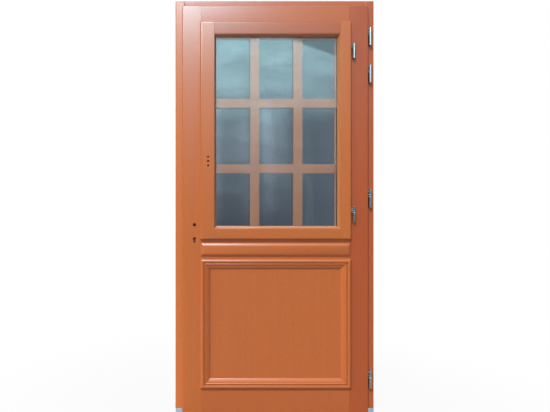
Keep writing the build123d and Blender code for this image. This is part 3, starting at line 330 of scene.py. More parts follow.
def object_place(tree):
    """Object coordinates, in metres."""
    return node(tree, "ShaderNodeTexCoord").outputs["Object"]


def wood_grain_group():
    """Growth rings, ribbons and pores of a board whose grain runs along Z."""
    name = "wood_grain"
    if name in bpy.data.node_groups:
        return bpy.data.node_groups[name]
    tree, given, result = new_tree(
        name, "ShaderNodeTree",
        [
            ("Vector", "Vector"),
            ("Seed", "Float", 0.0),
            ("Ring Spacing", "Float", 0.014),
            ("Ribbon Width", "Float", 0.022),
            ("Pore Length", "Float", 0.012),
        ],
        [("Figure", "Float"), ("Pores", "Float")],
    )
    seed_step = (0.31, 0.53, 2.1)
    shift = vector_of(tree, *(times(tree, given["Seed"], part) for part in seed_step))
    place = output(tree, "ShaderNodeVectorMath", {0: given["Vector"], 1: shift}, operation="ADD")
    # A wave texture of scale 1 has a ring every 0.314 m.
    ring_at_scale_one = 0.314
    rings = node(
        tree, "ShaderNodeTexWave",
        {"Vector": squeezed(tree, place, 0.05),
         "Scale": calc(tree, "DIVIDE", ring_at_scale_one, given["Ring Spacing"]),
         "Distortion": 5.0, "Detail": 2.0, "Detail Scale": 0.45, "Detail Roughness": 0.5},
        wave_type="RINGS", rings_direction="Z", wave_profile="SAW",
    ).outputs[1]
    ribbon_scale = calc(tree, "DIVIDE", 1.0, given["Ribbon Width"])
    ribbons = noise(tree, squeezed(tree, place, 0.035), ribbon_scale, detail=3.0, roughness=0.55)
    fibres = noise(tree, squeezed(tree, place, 0.03), scale=520.0, detail=3.0, roughness=0.6)
    broad = noise(tree, squeezed(tree, place, 0.4), scale=5.0, detail=1.0)
    figure = weighted(
        tree, (rings, 0.16), (ramp(tree, ribbons, 0.3, 0.7), 0.40), (fibres, 0.22), (broad, 0.22)
    )
    pore_width = 0.0007
    squash = calc(tree, "DIVIDE", pore_width, given["Pore Length"])
    pores = noise(tree, squeezed(tree, place, squash), scale=1.0 / pore_width, detail=1.0)
    tree.links.new(figure, result["Figure"])
    tree.links.new(ramp(tree, pores, 0.60, 0.72), result["Pores"])
    return tree


def marks_group():
    """Fingerprints and smudges: a soft mask between 0 and 1."""
    name = "handling_marks"
    if name in bpy.data.node_groups:
        return bpy.data.node_groups[name]
    tree, given, result = new_tree(
        name, "ShaderNodeTree",
        [("Vector", "Vector"), ("Scale", "Float", 40.0)],
        [("Marks", "Float")],
    )
    fine_scale = times(tree, given["Scale"], 7.0)
    cloud = noise(tree, given["Vector"], given["Scale"], detail=4.0, roughness=0.6)
    fine = noise(tree, given["Vector"], fine_scale)
    both = weighted(tree, (cloud, 0.75), (fine, 0.25))
    tree.links.new(ramp(tree, both, 0.42, 0.66), result["Marks"])
    return tree


# Materials

def tinted(colour, tone, redness):
    """A stain made lighter or darker, and moved towards red."""
    green_loss, blue_loss = 0.28, 0.22
    return (
        min(colour[0] * tone, 1.0),
        colour[1] * tone * (1.0 - green_loss * redness),
        colour[2] * tone * (1.0 - blue_loss * redness),
    )


def darker(colour, share):
    """A colour with a share of its light."""
    return [part * share for part in colour]


def timber_material(name, seed, level, tone=1.0, redness=0.0, varnish=0.22):
    """Satin stained hardwood, with the grain along Z or, in a level piece, along X."""
    pore_stain, pore_dullness = 0.45, 0.14
    figure_gloss, figure_height = 0.05, 0.35
    look = bpy.context.scene.door_timber
    material, tree, shader = new_material(name)
    turned = output(
        tree, "ShaderNodeMapping",
        {"Vector": object_place(tree), "Rotation": (0.0, QUARTER_TURN if level else 0.0, 0.0)},
    )
    grain = node(
        tree, "ShaderNodeGroup",
        {"Vector": turned, "Seed": float(seed), "Ring Spacing": look.ring_spacing,
         "Ribbon Width": look.ribbon_width, "Pore Length": look.pore_length},
        node_tree=wood_grain_group(),
    ).outputs
    light = tinted(look.stain_light, tone, redness)
    dark = tinted(look.stain_dark, tone, redness)
    body = mix(tree, grain["Figure"], dark, light)
    pore_share = times(tree, grain["Pores"], pore_stain)
    body = mix(tree, pore_share, body, tinted(look.stain_dark, pore_stain * tone, redness))
    gloss = calc(tree, "ADD", look.roughness, times(tree, grain["Pores"], pore_dullness))
    gloss = calc(tree, "SUBTRACT", gloss, times(tree, grain["Figure"], figure_gloss))
    height = calc(tree, "SUBTRACT", times(tree, grain["Figure"], figure_height), grain["Pores"])
    bumped(tree, shader, height, strength=0.35, distance=0.0003)
    feed(tree, shader, Base_Color=body, Roughness=gloss, Specular_IOR_Level=0.5)
    feed(tree, shader, Coat_Weight=varnish, Coat_Roughness=0.3)
    return material


def raw_wood_material():
    """Cut wood, without stain, inside a bored hole."""
    name = "raw_wood"
    if name in bpy.data.materials:
        return bpy.data.materials[name]
    look = bpy.context.scene.door_timber
    material, tree, shader = new_material(name)
    place = stretch(tree, object_place(tree), (1.0, 0.15, 1.0))
    fibre = noise(tree, place, scale=900.0, detail=3.0)
    colour = mix(tree, fibre, darker(look.raw_wood, 0.7), look.raw_wood)
    bumped(tree, shader, fibre, strength=0.5, distance=0.0003)
    feed(tree, shader, Base_Color=colour, Roughness=ramp(tree, fibre, 0.0, 1.0, 0.8, 0.6))
    return material


def metal_material(name, colour, roughness, marks=0.12, brush=None, scale=30.0):
    """Bare or plated metal with handling marks and, where it is brushed, fine lines."""
    line_dullness = 0.12
    material, tree, shader = new_material(name)
    place = object_place(tree)
    mask = output(tree, "ShaderNodeGroup", {"Vector": place, "Scale": scale}, node_tree=marks_group())
    rough = ramp(tree, mask, 0.0, 1.0, roughness, roughness + marks, smooth=False)
    tone = mix(tree, mask, colour, darker(colour, 0.86))
    if brush:
        lines = noise(tree, stretch(tree, place, brush), scale=2400.0)
        rough = calc(tree, "ADD", rough, times(tree, lines, line_dullness))
        bumped(tree, shader, lines, strength=0.2, distance=0.0001)
    feed(tree, shader, Base_Color=tone, Roughness=rough, Metallic=1.0)
    return material


def zinc_material(name, roughness):
    """Zinc plating, brushed along Z."""
    colour = bpy.context.scene.door_metal.zinc_colour
    return metal_material(name, colour, roughness, marks=0.16, brush=(1.0, 1.0, 0.02), scale=45.0)


def plastic_material(name, colour, roughness):
    """Moulded plastic with a faint grain."""
    material, tree, shader = new_material(name)
    grain = noise(tree, object_place(tree), scale=1800.0)
    rough = ramp(tree, grain, 0.0, 1.0, roughness, roughness + 0.1)
    bumped(tree, shader, grain, strength=0.15, distance=0.0001)
    feed(tree, shader, Base_Color=mix(tree, grain, darker(colour, 0.85), colour), Roughness=rough)
    return material


def glass_material():
    """Clear float glass with faint marks, which lets light for shadows straight through."""
    look = bpy.context.scene.door_glass
    material, tree, shader = new_material("float_glass")
    mask = output(
        tree, "ShaderNodeGroup", {"Vector": object_place(tree), "Scale": 9.0},
        node_tree=marks_group(),
    )
    feed(tree, shader, Base_Color=rgba(look.glass_colour), IOR=1.52, Transmission_Weight=1.0)
    feed(tree, shader, Roughness=ramp(tree, mask, 0.0, 1.0, 0.0, look.smudge, smooth=False))
    shadow_tint = (0.86, 0.90, 0.89)
    clear = node(tree, "ShaderNodeBsdfTransparent", {"Color": rgba(shadow_tint)})
    shadow = node(tree, "ShaderNodeLightPath").outputs["Is Shadow Ray"]
    surface_mix(tree, shadow, shader, clear)
    return material


def bar_material():
    """Stoved brown paint on the bars between the panes, with a fine printed grain."""
    look = bpy.context.scene.door_glass
    material, tree, shader = new_material("bar_paint")
    grain = noise(tree, squeezed(tree, object_place(tree), 0.08), scale=300.0, detail=3.0)
    colour = mix(tree, grain, darker(look.bar_colour, 0.85), look.bar_colour)
    feed(tree, shader, Base_Color=colour, Roughness=ramp(tree, grain, 0.0, 1.0, 0.42, 0.55))
    return material


# Meshes

def scene_object(label, mesh):
    """An object at the origin, in the scene."""
    made = bpy.data.objects.new(label, mesh)
    bpy.context.scene.collection.objects.link(made)
    return made


def smooth_by_angle(mesh):
    """Smooth shading, apart from the sharp edges."""
    mesh.shade_smooth()
    mesh.set_sharp_from_angle(angle=SHARP_ANGLE)


def finished(node_name, label, materials, edge, pick=None):
    """Put a welded copy with eased edges in a node's place.

    pick gives the number of a face's material from its middle and its direction.
    """
    source = frame["nodes"][node_name].data
    mesh = bpy.data.meshes.new(label)
    faces = [list(face.vertices) for face in source.polygons]
    mesh.from_pydata([vertex.co for vertex in source.vertices], [], faces)
    shape = bmesh.new()
    shape.from_mesh(mesh)
    bmesh.ops.remove_doubles(shape, verts=shape.verts, dist=WELD_DISTANCE)
    bmesh.ops.dissolve_limit(
        shape, angle_limit=FLAT_ANGLE, verts=shape.verts[:], edges=shape.edges[:]
    )
    if pick:
        for face in shape.faces:
            face.material_index = pick(face.calc_center_median(), face.normal)
    shape.to_mesh(mesh)
    shape.free()
    for material in materials:
        mesh.materials.append(material)
    smooth_by_angle(mesh)
    piece = scene_object(label, mesh)
    if edge > 0.0:
        bevel = piece.modifiers.new("eased_edges", "BEVEL")
        bevel.width = edge
        bevel.segments = 2
        bevel.limit_method = "ANGLE"
        bevel.angle_limit = SHARP_ANGLE
        bevel.harden_normals = True
    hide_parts(node_name)
    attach(piece, BODY_OF[node_name])


def boards(rows, edge):
    """Finish timber: each row has a node, a label, a seed, level, a tone and a redness."""
    for node_name, label, seed, level, tone, redness in rows:
        stain = timber_material(label + "_stain", seed, level, tone, redness)
        finished(node_name, label, [stain], edge)


def coat(node_name, material):
    """Give a node that keeps its own shape its finish."""
    mesh = frame["nodes"][node_name].data
    mesh.materials.clear()
    mesh.materials.append(material)


def grown(label, tree, values, body, points=((0.0, 0.0, 0.0),), ways=()):
    """A plain mesh piece, grown by a geometry tree from a set of points."""
    places = bpy.data.meshes.new(label)
    places.from_pydata(points, [], [])
    if ways:
        direction = places.attributes.new("direction", "FLOAT_VECTOR", "POINT")
        for item, way in zip(direction.data, ways):
            item.vector = way
    carrier = scene_object(label + "_places", places)
    modifier = carrier.modifiers.new("grow", "NODES")
    modifier.node_group = tree
    sockets = {
        item.name: item.identifier
        for item in tree.interface.items_tree if item.in_out == "INPUT"
    }
    for name, value in values.items():
        modifier[sockets[name]] = value
    evaluated = carrier.evaluated_get(bpy.context.evaluated_depsgraph_get())
    mesh = bpy.data.meshes.new_from_object(evaluated)
    carrier.modifiers.remove(modifier)
    bpy.data.objects.remove(carrier)
    smooth_by_angle(mesh)
    piece = scene_object(label, mesh)
    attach(piece, body)
    return piece


# Geometry trees

def screw_tree():
    """Countersunk screws with a cross recess, one on each point, facing its direction."""
    name = "countersunk_screws"
    if name in bpy.data.node_groups:
        return bpy.data.node_groups[name]
    tree, given, result = new_tree(
        name, "GeometryNodeTree",
        [
            ("Places", "Geometry"),
            ("Head Radius", "Float", 0.004),
            ("Shank Radius", "Float", 0.0022),
            ("Length", "Float", 0.025),
            ("Recess Width", "Float", 0.0011),
            ("Recess Depth", "Float", 0.0016),
            ("Finish", "Material"),
        ],
        [("Screws", "Geometry")],
    )
    arm_share, tip_share, turn_seed = 1.15, 0.3, 7
    cone_depth = calc(tree, "SUBTRACT", given["Head Radius"], given["Shank Radius"])
    head = node(
        tree, "GeometryNodeMeshCone",
        {"Vertices": 24, "Radius Top": given["Head Radius"],
         "Radius Bottom": given["Shank Radius"], "Depth": cone_depth},
    ).outputs["Mesh"]
    head = moved(tree, head, (0.0, 0.0, times(tree, cone_depth, -1.0)))
    arm = times(tree, given["Head Radius"], arm_share)
    deep = times(tree, given["Recess Depth"], 2.0)
    across = vector_of(tree, given["Recess Width"], arm, deep)
    along = vector_of(tree, arm, given["Recess Width"], deep)
    cut = node(tree, "GeometryNodeMeshBoolean", {"Mesh 1": head}, operation="DIFFERENCE")
    for size in (across, along):
        tool = node(tree, "GeometryNodeMeshCube", {"Size": size}).outputs["Mesh"]
        tree.links.new(tool, cut.inputs["Mesh 2"])
    shank_length = calc(tree, "SUBTRACT", given["Length"], cone_depth)
    shank = node(
        tree, "GeometryNodeMeshCone",
        {"Vertices": 12, "Radius Top": given["Shank Radius"],
         "Radius Bottom": times(tree, given["Shank Radius"], tip_share),
         "Depth": shank_length},
    ).outputs["Mesh"]
    shank = moved(tree, shank, (0.0, 0.0, times(tree, given["Length"], -1.0)))
    joined = node(tree, "GeometryNodeJoinGeometry")
    for piece in (cut.outputs[0], shank):
        tree.links.new(piece, joined.inputs[0])
    way = output(
        tree, "GeometryNodeInputNamedAttribute", {"Name": "direction"}, data_type="FLOAT_VECTOR"
    )
    facing = output(tree, "FunctionNodeAlignRotationToVector", {"Vector": way}, axis="Z")
    turn = node(
        tree, "FunctionNodeRandomValue", {2: 0.0, 3: QUARTER_TURN, "Seed": turn_seed},
        data_type="FLOAT",
    ).outputs[1]
    about = output(tree, "FunctionNodeAxisAngleToRotation", {"Axis": (0.0, 0.0, 1.0), "Angle": turn})
    facing = output(tree, "FunctionNodeRotateRotation", {0: facing, 1: about}, rotation_space="LOCAL")
    placed = output(
        tree, "GeometryNodeInstanceOnPoints",
        {"Points": given["Places"], "Instance": joined.outputs[0], "Rotation": facing},
    )
    finish_tree(tree, placed, given["Finish"], result["Screws"])
    return tree


def moved(tree, geometry, place, turn=(0.0, 0.0, 0.0)):
    """Geometry moved by a vector of values or sockets, and turned."""
    return output(
        tree, "GeometryNodeTransform",
        {"Geometry": geometry, "Translation": vector_of(tree, *place), "Rotation": turn},
    )


def finish_tree(tree, geometry, finish, target):
    """End a tree with Realize Instances and Set Material."""
    real = output(tree, "GeometryNodeRealizeInstances", {0: geometry})
    made = node(tree, "GeometryNodeSetMaterial", {"Geometry": real, "Material": finish})
    tree.links.new(made.outputs[0], target)


def rib_tree():
    """Round ribs along X, side by side down a slope."""
    tree, given, result = new_tree(
        "tread_ribs", "GeometryNodeTree",
        [
            ("Places", "Geometry"),
            ("Count", "Int", 5),
            ("Start", "Vector"),
            ("Step", "Vector"),
            ("Radius", "Float", 0.0009),
            ("Length", "Float", 1.0),
            ("Finish", "Material"),
        ],
        [("Ribs", "Geometry")],
    )
    line = output(
        tree, "GeometryNodeMeshLine",
        {"Count": given["Count"], "Start Location": given["Start"], "Offset": given["Step"]},
        mode="OFFSET",
    )
    bar = node(
        tree, "GeometryNodeMeshCylinder",
        {"Vertices": 10, "Radius": given["Radius"], "Depth": given["Length"]},
    ).outputs["Mesh"]
    bar = moved(tree, bar, (0.0, 0.0, 0.0), (0.0, QUARTER_TURN, 0.0))
    placed = output(tree, "GeometryNodeInstanceOnPoints", {"Points": line, "Instance": bar})
    finish_tree(tree, placed, given["Finish"], result["Ribs"])
    return tree


def seal_tree():
    """A hollow rubber seal round a rectangle: a bulb with a thin lip beside it."""
    name = "rubber_seal"
    if name in bpy.data.node_groups:
        return bpy.data.node_groups[name]
    tree, given, result = new_tree(
        name, "GeometryNodeTree",
        [
            ("Places", "Geometry"),
            ("Width", "Float", 0.8),
            ("Height", "Float", 2.0),
            ("Middle", "Vector"),
            ("Bulb Radius", "Float", 0.0036),
            ("Lip Radius", "Float", 0.0011),
            ("Lip Offset", "Float", 0.0046),
            ("Corner", "Float", 0.007),
            ("Finish", "Material"),
        ],
        [("Seal", "Geometry")],
    )
    joined = node(tree, "GeometryNodeJoinGeometry")
    for radius, inset, sides in (("Bulb Radius", 0.0, 12), ("Lip Radius", 2.0, 8)):
        less = times(tree, given["Lip Offset"], inset)
        path = output(
            tree, "GeometryNodeCurvePrimitiveQuadrilateral",
            {"Width": calc(tree, "SUBTRACT", given["Width"], less),
             "Height": calc(tree, "SUBTRACT", given["Height"], less)},
        )
        path = output(
            tree, "GeometryNodeFilletCurve",
            {"Curve": path, "Radius": given["Corner"], "Count": 4}, mode="POLY",
        )
        ring = output(
            tree, "GeometryNodeCurvePrimitiveCircle", {"Resolution": sides, "Radius": given[radius]}
        )
        tube = output(tree, "GeometryNodeCurveToMesh", {"Curve": path, "Profile Curve": ring})
        tree.links.new(tube, joined.inputs[0])
    stood = output(
        tree, "GeometryNodeTransform",
        {"Geometry": joined.outputs[0], "Translation": given["Middle"],
         "Rotation": (QUARTER_TURN, 0.0, 0.0)},
    )
    finish_tree(tree, stood, given["Finish"], result["Seal"])
    return tree


# Pieces

def hole_picker(spots):
    """A picker that gives number 1 to the walls of round or keyhole-shaped holes along Y."""
    def pick(middle, way):
        inside = any(
            abs(middle.x - x) < reach and low < middle.z < high for x, reach, low, high in spots
        )
        return 1 if inside and abs(way.y) < FACING_LIMIT else 0
    return pick


def washer_picker(axis, reach):
    """A picker that gives number 1 to the washers round a hinge's axis, and 0 to its pins."""
    def pick(middle, way):
        away = math.hypot(middle.x - axis[0], middle.y - axis[1])
        level = abs(way.z) > FACING_LIMIT
        return 1 if away > reach or (level and away > reach / 2) else 0
    return pick


class DOOR_OT_frame_timber(bpy.types.Operator):
    """Finish the jambs and the head"""

    bl_idname = "door.frame_timber"
    bl_label = "Frame timber"

    def execute(self, context):
        # The lock jamb is stained lighter, and the hinge jamb redder and darker: painted light on the
        # left and painted shade on the right.
        boards((
            ("frame_jamb_lock", "lock_jamb", 1, False, 1.15, -0.1),
            ("frame_jamb_hinge", "hinge_jamb", 2, False, 0.98, 0.7),
            ("frame_head", "head", 3, True, 1.0, 0.3),
        ), context.scene.door_timber.edge_radius)
        return {"FINISHED"}


class DOOR_OT_leaf_timber(bpy.types.Operator):
    """Finish the leaf's stiles, rails, panel, raised bar and weatherboard"""

    bl_idname = "door.leaf_timber"
    bl_label = "Leaf timber"

    def execute(self, context):
        edge = context.scene.door_timber.edge_radius
        reach, cylinder_drop = 0.012, 0.030
        spindle = MOUNT_AT["door_handle_spindle"]
        cylinder = MOUNT_AT["lock_cylinder"]
        holes = hole_picker([
            (spindle.x, reach, spindle.z - reach, spindle.z + reach),
            (cylinder.x, reach, cylinder.z - cylinder_drop, cylinder.z + reach),
        ])
        stain = timber_material("lock_stile_stain", 4, level=False)
        finished("leaf_stile_lock", "lock_stile", [stain, raw_wood_material()], edge, holes)
        # The hinge stile is stained darker and redder than the rest: painted shade on the right side.
        boards((
            ("leaf_stile_hinge", "hinge_stile", 5, False, 0.84, 0.85),
            ("leaf_top_rail", "top_rail", 6, True, 0.98, 0.35),
            ("leaf_mid_rail", "middle_rail", 7, True, 0.96, 0.1),
            ("leaf_bottom_rail", "bottom_rail", 8, True, 0.94, 0.25),
            ("raised_bar", "raised_bar_finished", 9, True, 1.0, 0.05),
            ("weatherboard", "weatherboard_finished", 10, True, 0.95, 0.2),
            ("lower_panel", "panel", 11, False, 0.98, 0.1),
        ), edge)
        return {"FINISHED"}


class DOOR_OT_mouldings(bpy.types.Operator):
    """Finish the moulding round the panel"""

    bl_idname = "door.mouldings"
    bl_label = "Panel moulding"

    def execute(self, context):
        edge = context.scene.door_timber.edge_radius * HALF_EDGE
        boards([
            (f"panel_moulding_{side}", f"moulding_{side}", seed, side in LEVEL_SIDES, 1.0, 0.1)
            for seed, side in enumerate(SIDES, start=12)
        ], edge)
        return {"FINISHED"}


class DOOR_OT_sash_timber(bpy.types.Operator):
    """Finish the sash and its glazing beads"""

    bl_idname = "door.sash_timber"
    bl_label = "Sash timber"

    def execute(self, context):
        edge = context.scene.door_timber.edge_radius
        handle = MOUNT_AT["window_handle"]
        reach, half_height = 0.008, 0.03
        holes = hole_picker([(handle.x, reach, handle.z - half_height, handle.z + half_height)])
        stain = timber_material("handle_stile_stain", 16, level=False, tone=1.02, redness=-0.1)
        finished("sash_stile_handle", "handle_stile", [stain, raw_wood_material()], edge, holes)
        boards((
            ("sash_stile_hinge", "window_hinge_stile", 17, False, 1.05, -0.15),
            ("sash_top_rail", "window_top_rail", 18, True, 0.84, 0.4),
            ("sash_bottom_rail", "window_bottom_rail", 19, True, 1.0, -0.1),
        ), edge)
        tone, varnish = 0.85, 1.0
        for seed, side in enumerate(SIDES, start=20):
            # The hinge and bottom beads are stained paler than the others: painted highlight for the
            # light that falls on them.
            redness = -0.6 if side in ("hinge", "bottom") else 0.0
            stain = timber_material(
                f"bead_{side}_stain", seed, side in LEVEL_SIDES, tone, redness, varnish
            )
            finished(f"glazing_bead_{side}", f"bead_{side}", [stain], edge * HALF_EDGE)
        return {"FINISHED"}


class DOOR_OT_glazing(bpy.types.Operator):
    """Finish the sealed unit: its panes, spacer and bars"""

    bl_idname = "door.glazing"
    bl_label = "Glazing"

    def execute(self, context):
        metal = context.scene.door_metal
        glass = glass_material()
        coat("inner_pane", glass)
        coat("outer_pane", glass)
        coat("unit_spacer", metal_material("spacer_metal", metal.spacer_colour, 0.45))
        finished("glazing_bars", "bars_between_panes", [bar_material()], metal.edge_radius * 2.0)
        return {"FINISHED"}


class DOOR_OT_seals(bpy.types.Operator):
    """Run the rubber seals round the frame and round the window opening"""

    bl_idname = "door.seals"
    bl_label = "Seals"

    def execute(self, context):
        rubber = plastic_material("seal_rubber", context.scene.door_metal.rubber_colour, 0.62)
        inset, play = 0.004, 0.0001
        for node_name, radius in (("frame_seal", 0.0036), ("sash_seal", 0.0026)):
            low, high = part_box(node_name)
            middle = ((low.x + high.x) / 2, low.y + radius + play, (low.z + high.z) / 2)
            piece = grown(
                node_name + "_bulb", seal_tree(),
                {"Width": high.x - low.x - 2 * inset, "Height": high.z - low.z - 2 * inset,
                 "Middle": middle, "Bulb Radius": radius, "Finish": rubber},
                BODY_OF[node_name],
            )
            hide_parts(node_name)
        return {"FINISHED"}


class DOOR_OT_threshold(bpy.types.Operator):
    """Finish the aluminium threshold and rib its nose"""

    bl_idname = "door.threshold"
    bl_label = "Threshold"

    def execute(self, context):
        look = context.scene.door_metal
        aluminium = metal_material(
            "mill_aluminium", look.aluminium_colour, 0.34, brush=(0.01, 1.0, 1.0), scale=12.0
        )
        finished("threshold_inner", "inner_profile", [aluminium], look.edge_radius)
        finished("threshold_outer", "outer_profile", [aluminium], look.edge_radius)
        black = (0.02, 0.02, 0.02)
        coat("threshold_break", plastic_material("break_plastic", black, 0.6))
        low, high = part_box("threshold_outer")
        nose_depth, slope_top_z, slope_foot_z = 0.032, 0.024, 0.014
        slope_top = Vector((0.0, high.y - nose_depth, slope_top_z))
        slope_foot = Vector((0.0, high.y, slope_foot_z))
        step = (slope_foot - slope_top).normalized() * look.rib_pitch
        end_margin = 0.001
        grown(
            "nose_ribs", rib_tree(),
            {"Count": 5, "Start": slope_top + step, "Step": step, "Radius": 0.0009,
             "Length": high.x - low.x - 2 * end_margin, "Finish": aluminium},
            "frame",
        )
        return {"FINISHED"}


class DOOR_OT_hinges(bpy.types.Operator):
    """Finish the knuckles, pins and washers of the hinges"""

    bl_idname = "door.hinges"
    bl_label = "Hinges"

    def execute(self, context):
        look = context.scene.door_metal
        plated = metal_material("bright_plating", look.hinge_colour, 0.15, marks=0.14, scale=60.0)
        names = [f"{owner}_knuckle_{place}" for place in ("top", "second", "middle", "foot")
                 for owner in ("frame", "leaf")]
        names += [f"sash_hinge_{level}_{place}" for place in ("top", "foot")
                  for level in ("lower", "upper")]
        for name in names:
            finished(name, name + "_plated", [plated], look.edge_radius)
        steel = metal_material("ground_steel", look.zinc_colour, 0.25)
        off_white = (0.75, 0.74, 0.70)
        nylon = plastic_material("washer_nylon", off_white, 0.45)
        for node_name, joint, reach in (
            ("leaf_hinge_pins", "leaf_swing", 0.0045), ("sash_hinge_pins", "sash_swing", 0.004),
        ):
            washers = washer_picker(JOINT_AT[joint], reach)
            finished(node_name, node_name + "_finished", [steel, nylon], 0.0, washers)
        return {"FINISHED"}


class DOOR_OT_lock(bpy.types.Operator):
    """Finish the mortise lock and its strike plate"""

    bl_idname = "door.lock"
    bl_label = "Lock"

    def execute(self, context):
        look = context.scene.door_metal
        zinc = zinc_material("lock_zinc", 0.32)
        for node_name in ("strike_plate", "lock_faceplate", "latch_bolt", "deadbolt"):
            finished(node_name, node_name + "_zinc", [zinc], look.edge_radius)
        # Near-black steel: painted shade for the depth of the lock's holes.
        black = metal_material("oiled_steel", look.case_shade_colour, 0.5)
        finished("lock_follower", "follower", [black], look.edge_radius)
        for node_name in ("lock_case", "lock_cover"):
            coat(node_name, black)
        return {"FINISHED"}


class DOOR_OT_window_gear(bpy.types.Operator):
    """Finish the window's hub, rod, face plate and keeps"""

    bl_idname = "door.window_gear"
    bl_label = "Window gear"

    def execute(self, context):
        look = context.scene.door_metal
        zinc = zinc_material("gear_zinc", 0.34)
        for node_name in ("sash_faceplate", "drive_rod", "sash_keeps"):
            finished(node_name, node_name + "_zinc", [zinc], look.edge_radius)
        # The gearbox takes the same near-black steel: painted shade seen through the handle's holes.
        coat("sash_gearbox", bpy.data.materials["oiled_steel"])
        red = plastic_material("hub_plastic", look.hub_colour, 0.35)
        finished("sash_hub", "handle_hub", [red], look.edge_radius)
        return {"FINISHED"}


class DOOR_OT_screws(bpy.types.Operator):
    """Drive the countersunk screws of the lock, the strike plate and the window's face plate"""

    bl_idname = "door.screws"
    bl_label = "Screws"

    def execute(self, context):
        look = context.scene.door_metal
        steel = metal_material("screw_steel", look.zinc_colour, 0.28, marks=0.14, scale=90.0)
        radius = look.screw_head_radius
        common = {"Head Radius": radius, "Finish": steel}
        for node_name, plate, way in (
            ("strike_screws", "strike_plate", 1.0), ("lock_screws", "lock_faceplate", -1.0),
        ):
            low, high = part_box(node_name)
            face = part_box(plate)[1 if way > 0 else 0].x
            middle = (low.y + high.y) / 2
            points = [(face, middle, z) for z in (low.z + radius, high.z - radius)]
            piece = grown(
                node_name + "_crossed", screw_tree(), common, BODY_OF[node_name],
                points, [(way, 0.0, 0.0)] * len(points),
            )
            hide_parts(node_name)
        low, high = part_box("sash_faceplate")
        rows, inset = 5, 0.03
        step = (high.z - low.z - 2 * inset) / (rows - 1)
        points = [(low.x, (low.y + high.y) / 2, low.z + inset + step * row) for row in range(rows)]
        small = {**common, "Head Radius": 0.003, "Shank Radius": 0.0017, "Length": 0.018}
        grown("face_plate_screws", screw_tree(), small, "sash",
              points, [(-1.0, 0.0, 0.0)] * rows)
        return {"FINISHED"}


# Stage

def stretched_noise(tree, across, up, across_scale, up_scale, scale=1.0, detail=1.0):
    """Noise over the directions of view, stretched by its two scales."""
    spread = vector_of(tree, times(tree, across, across_scale), times(tree, up, up_scale), 0.0)
    return noise(tree, spread, scale, detail)


def mirrored_view(tree, across, up):
    """What the panes mirror: ground, sky, clouds, soft streaks, a hedge, an eave and posts.

    across and up are slopes of the direction of view, and the pairs of limits below are such
    slopes. Towards the flanks, on both sides, the view goes over to a dull grey.
    """
    ground = (0.10, 0.11, 0.17)
    low_sky = (1.0, 1.3, 1.55)
    high_sky = (2.2, 3.5, 3.9)
    hedge_colour = (0.22, 0.30, 0.40)
    eave_colour = (0.45, 0.60, 0.68)
    post_colour = (0.75, 0.95, 1.1)
    flank_colour = (0.16, 0.16, 0.17)
    hedge_share, eave_share, post_share, flank_share = 0.78, 0.8, 0.22, 0.93
    eave_slope, flank_middle = 0.37, 0.25
    horizon, clearing, streak_top = (-0.06, 0.16), (0.12, 0.34), (0.17, 0.24)
    hedge_side, hedge_top = (0.20, 0.31), (0.16, 0.23)
    eave_side, eave_line = (0.24, 0.28), (0.426, 0.436)
    post_side, post_top = (0.27, 0.29), (0.04, 0.07)
    flank_side = (0.4, 0.9)

    view = mix(tree, ramp(tree, up, *horizon), ground, low_sky)
    view = mix(tree, ramp(tree, up, *clearing), view, high_sky)
    cloud = stretched_noise(tree, across, up, 5.0, 14.0, scale=1.6, detail=3.0)
    view = mix(tree, 1.0, view, grey(tree, ramp(tree, cloud, 0.3, 0.7, 0.74, 1.14)), "MULTIPLY")
    streak = ramp(tree, stretched_noise(tree, across, up, 17.0, 1.5), 0.40, 0.66, 0.82, 1.5)
    streak = mix(tree, ramp(tree, up, *streak_top), grey(tree, streak), WHITE)
    view = mix(tree, 1.0, view, streak, "MULTIPLY")

    hedge = times(tree, ramp(tree, across, *hedge_side), ramp(tree, up, *hedge_top, 1.0, 0.35))
    view = mix(tree, times(tree, hedge, hedge_share), view, hedge_colour)
    slant = calc(tree, "ADD", up, times(tree, across, eave_slope))
    eave = times(tree, ramp(tree, slant, *eave_line), ramp(tree, across, *eave_side))
    view = mix(tree, times(tree, eave, eave_share), view, eave_colour)
    posts = ramp(tree, stretched_noise(tree, across, up, 46.0, 3.0), 0.50, 0.62)
    posts = times(tree, posts, ramp(tree, across, *post_side))
    posts = times(tree, posts, ramp(tree, up, *post_top, 1.0, 0.0))
    view = mix(tree, times(tree, posts, post_share), view, post_colour)

    aside = calc(tree, "ABSOLUTE", calc(tree, "SUBTRACT", across, flank_middle))
    flank = times(tree, ramp(tree, aside, *flank_side), flank_share)
    return mix(tree, flank, view, flank_colour)


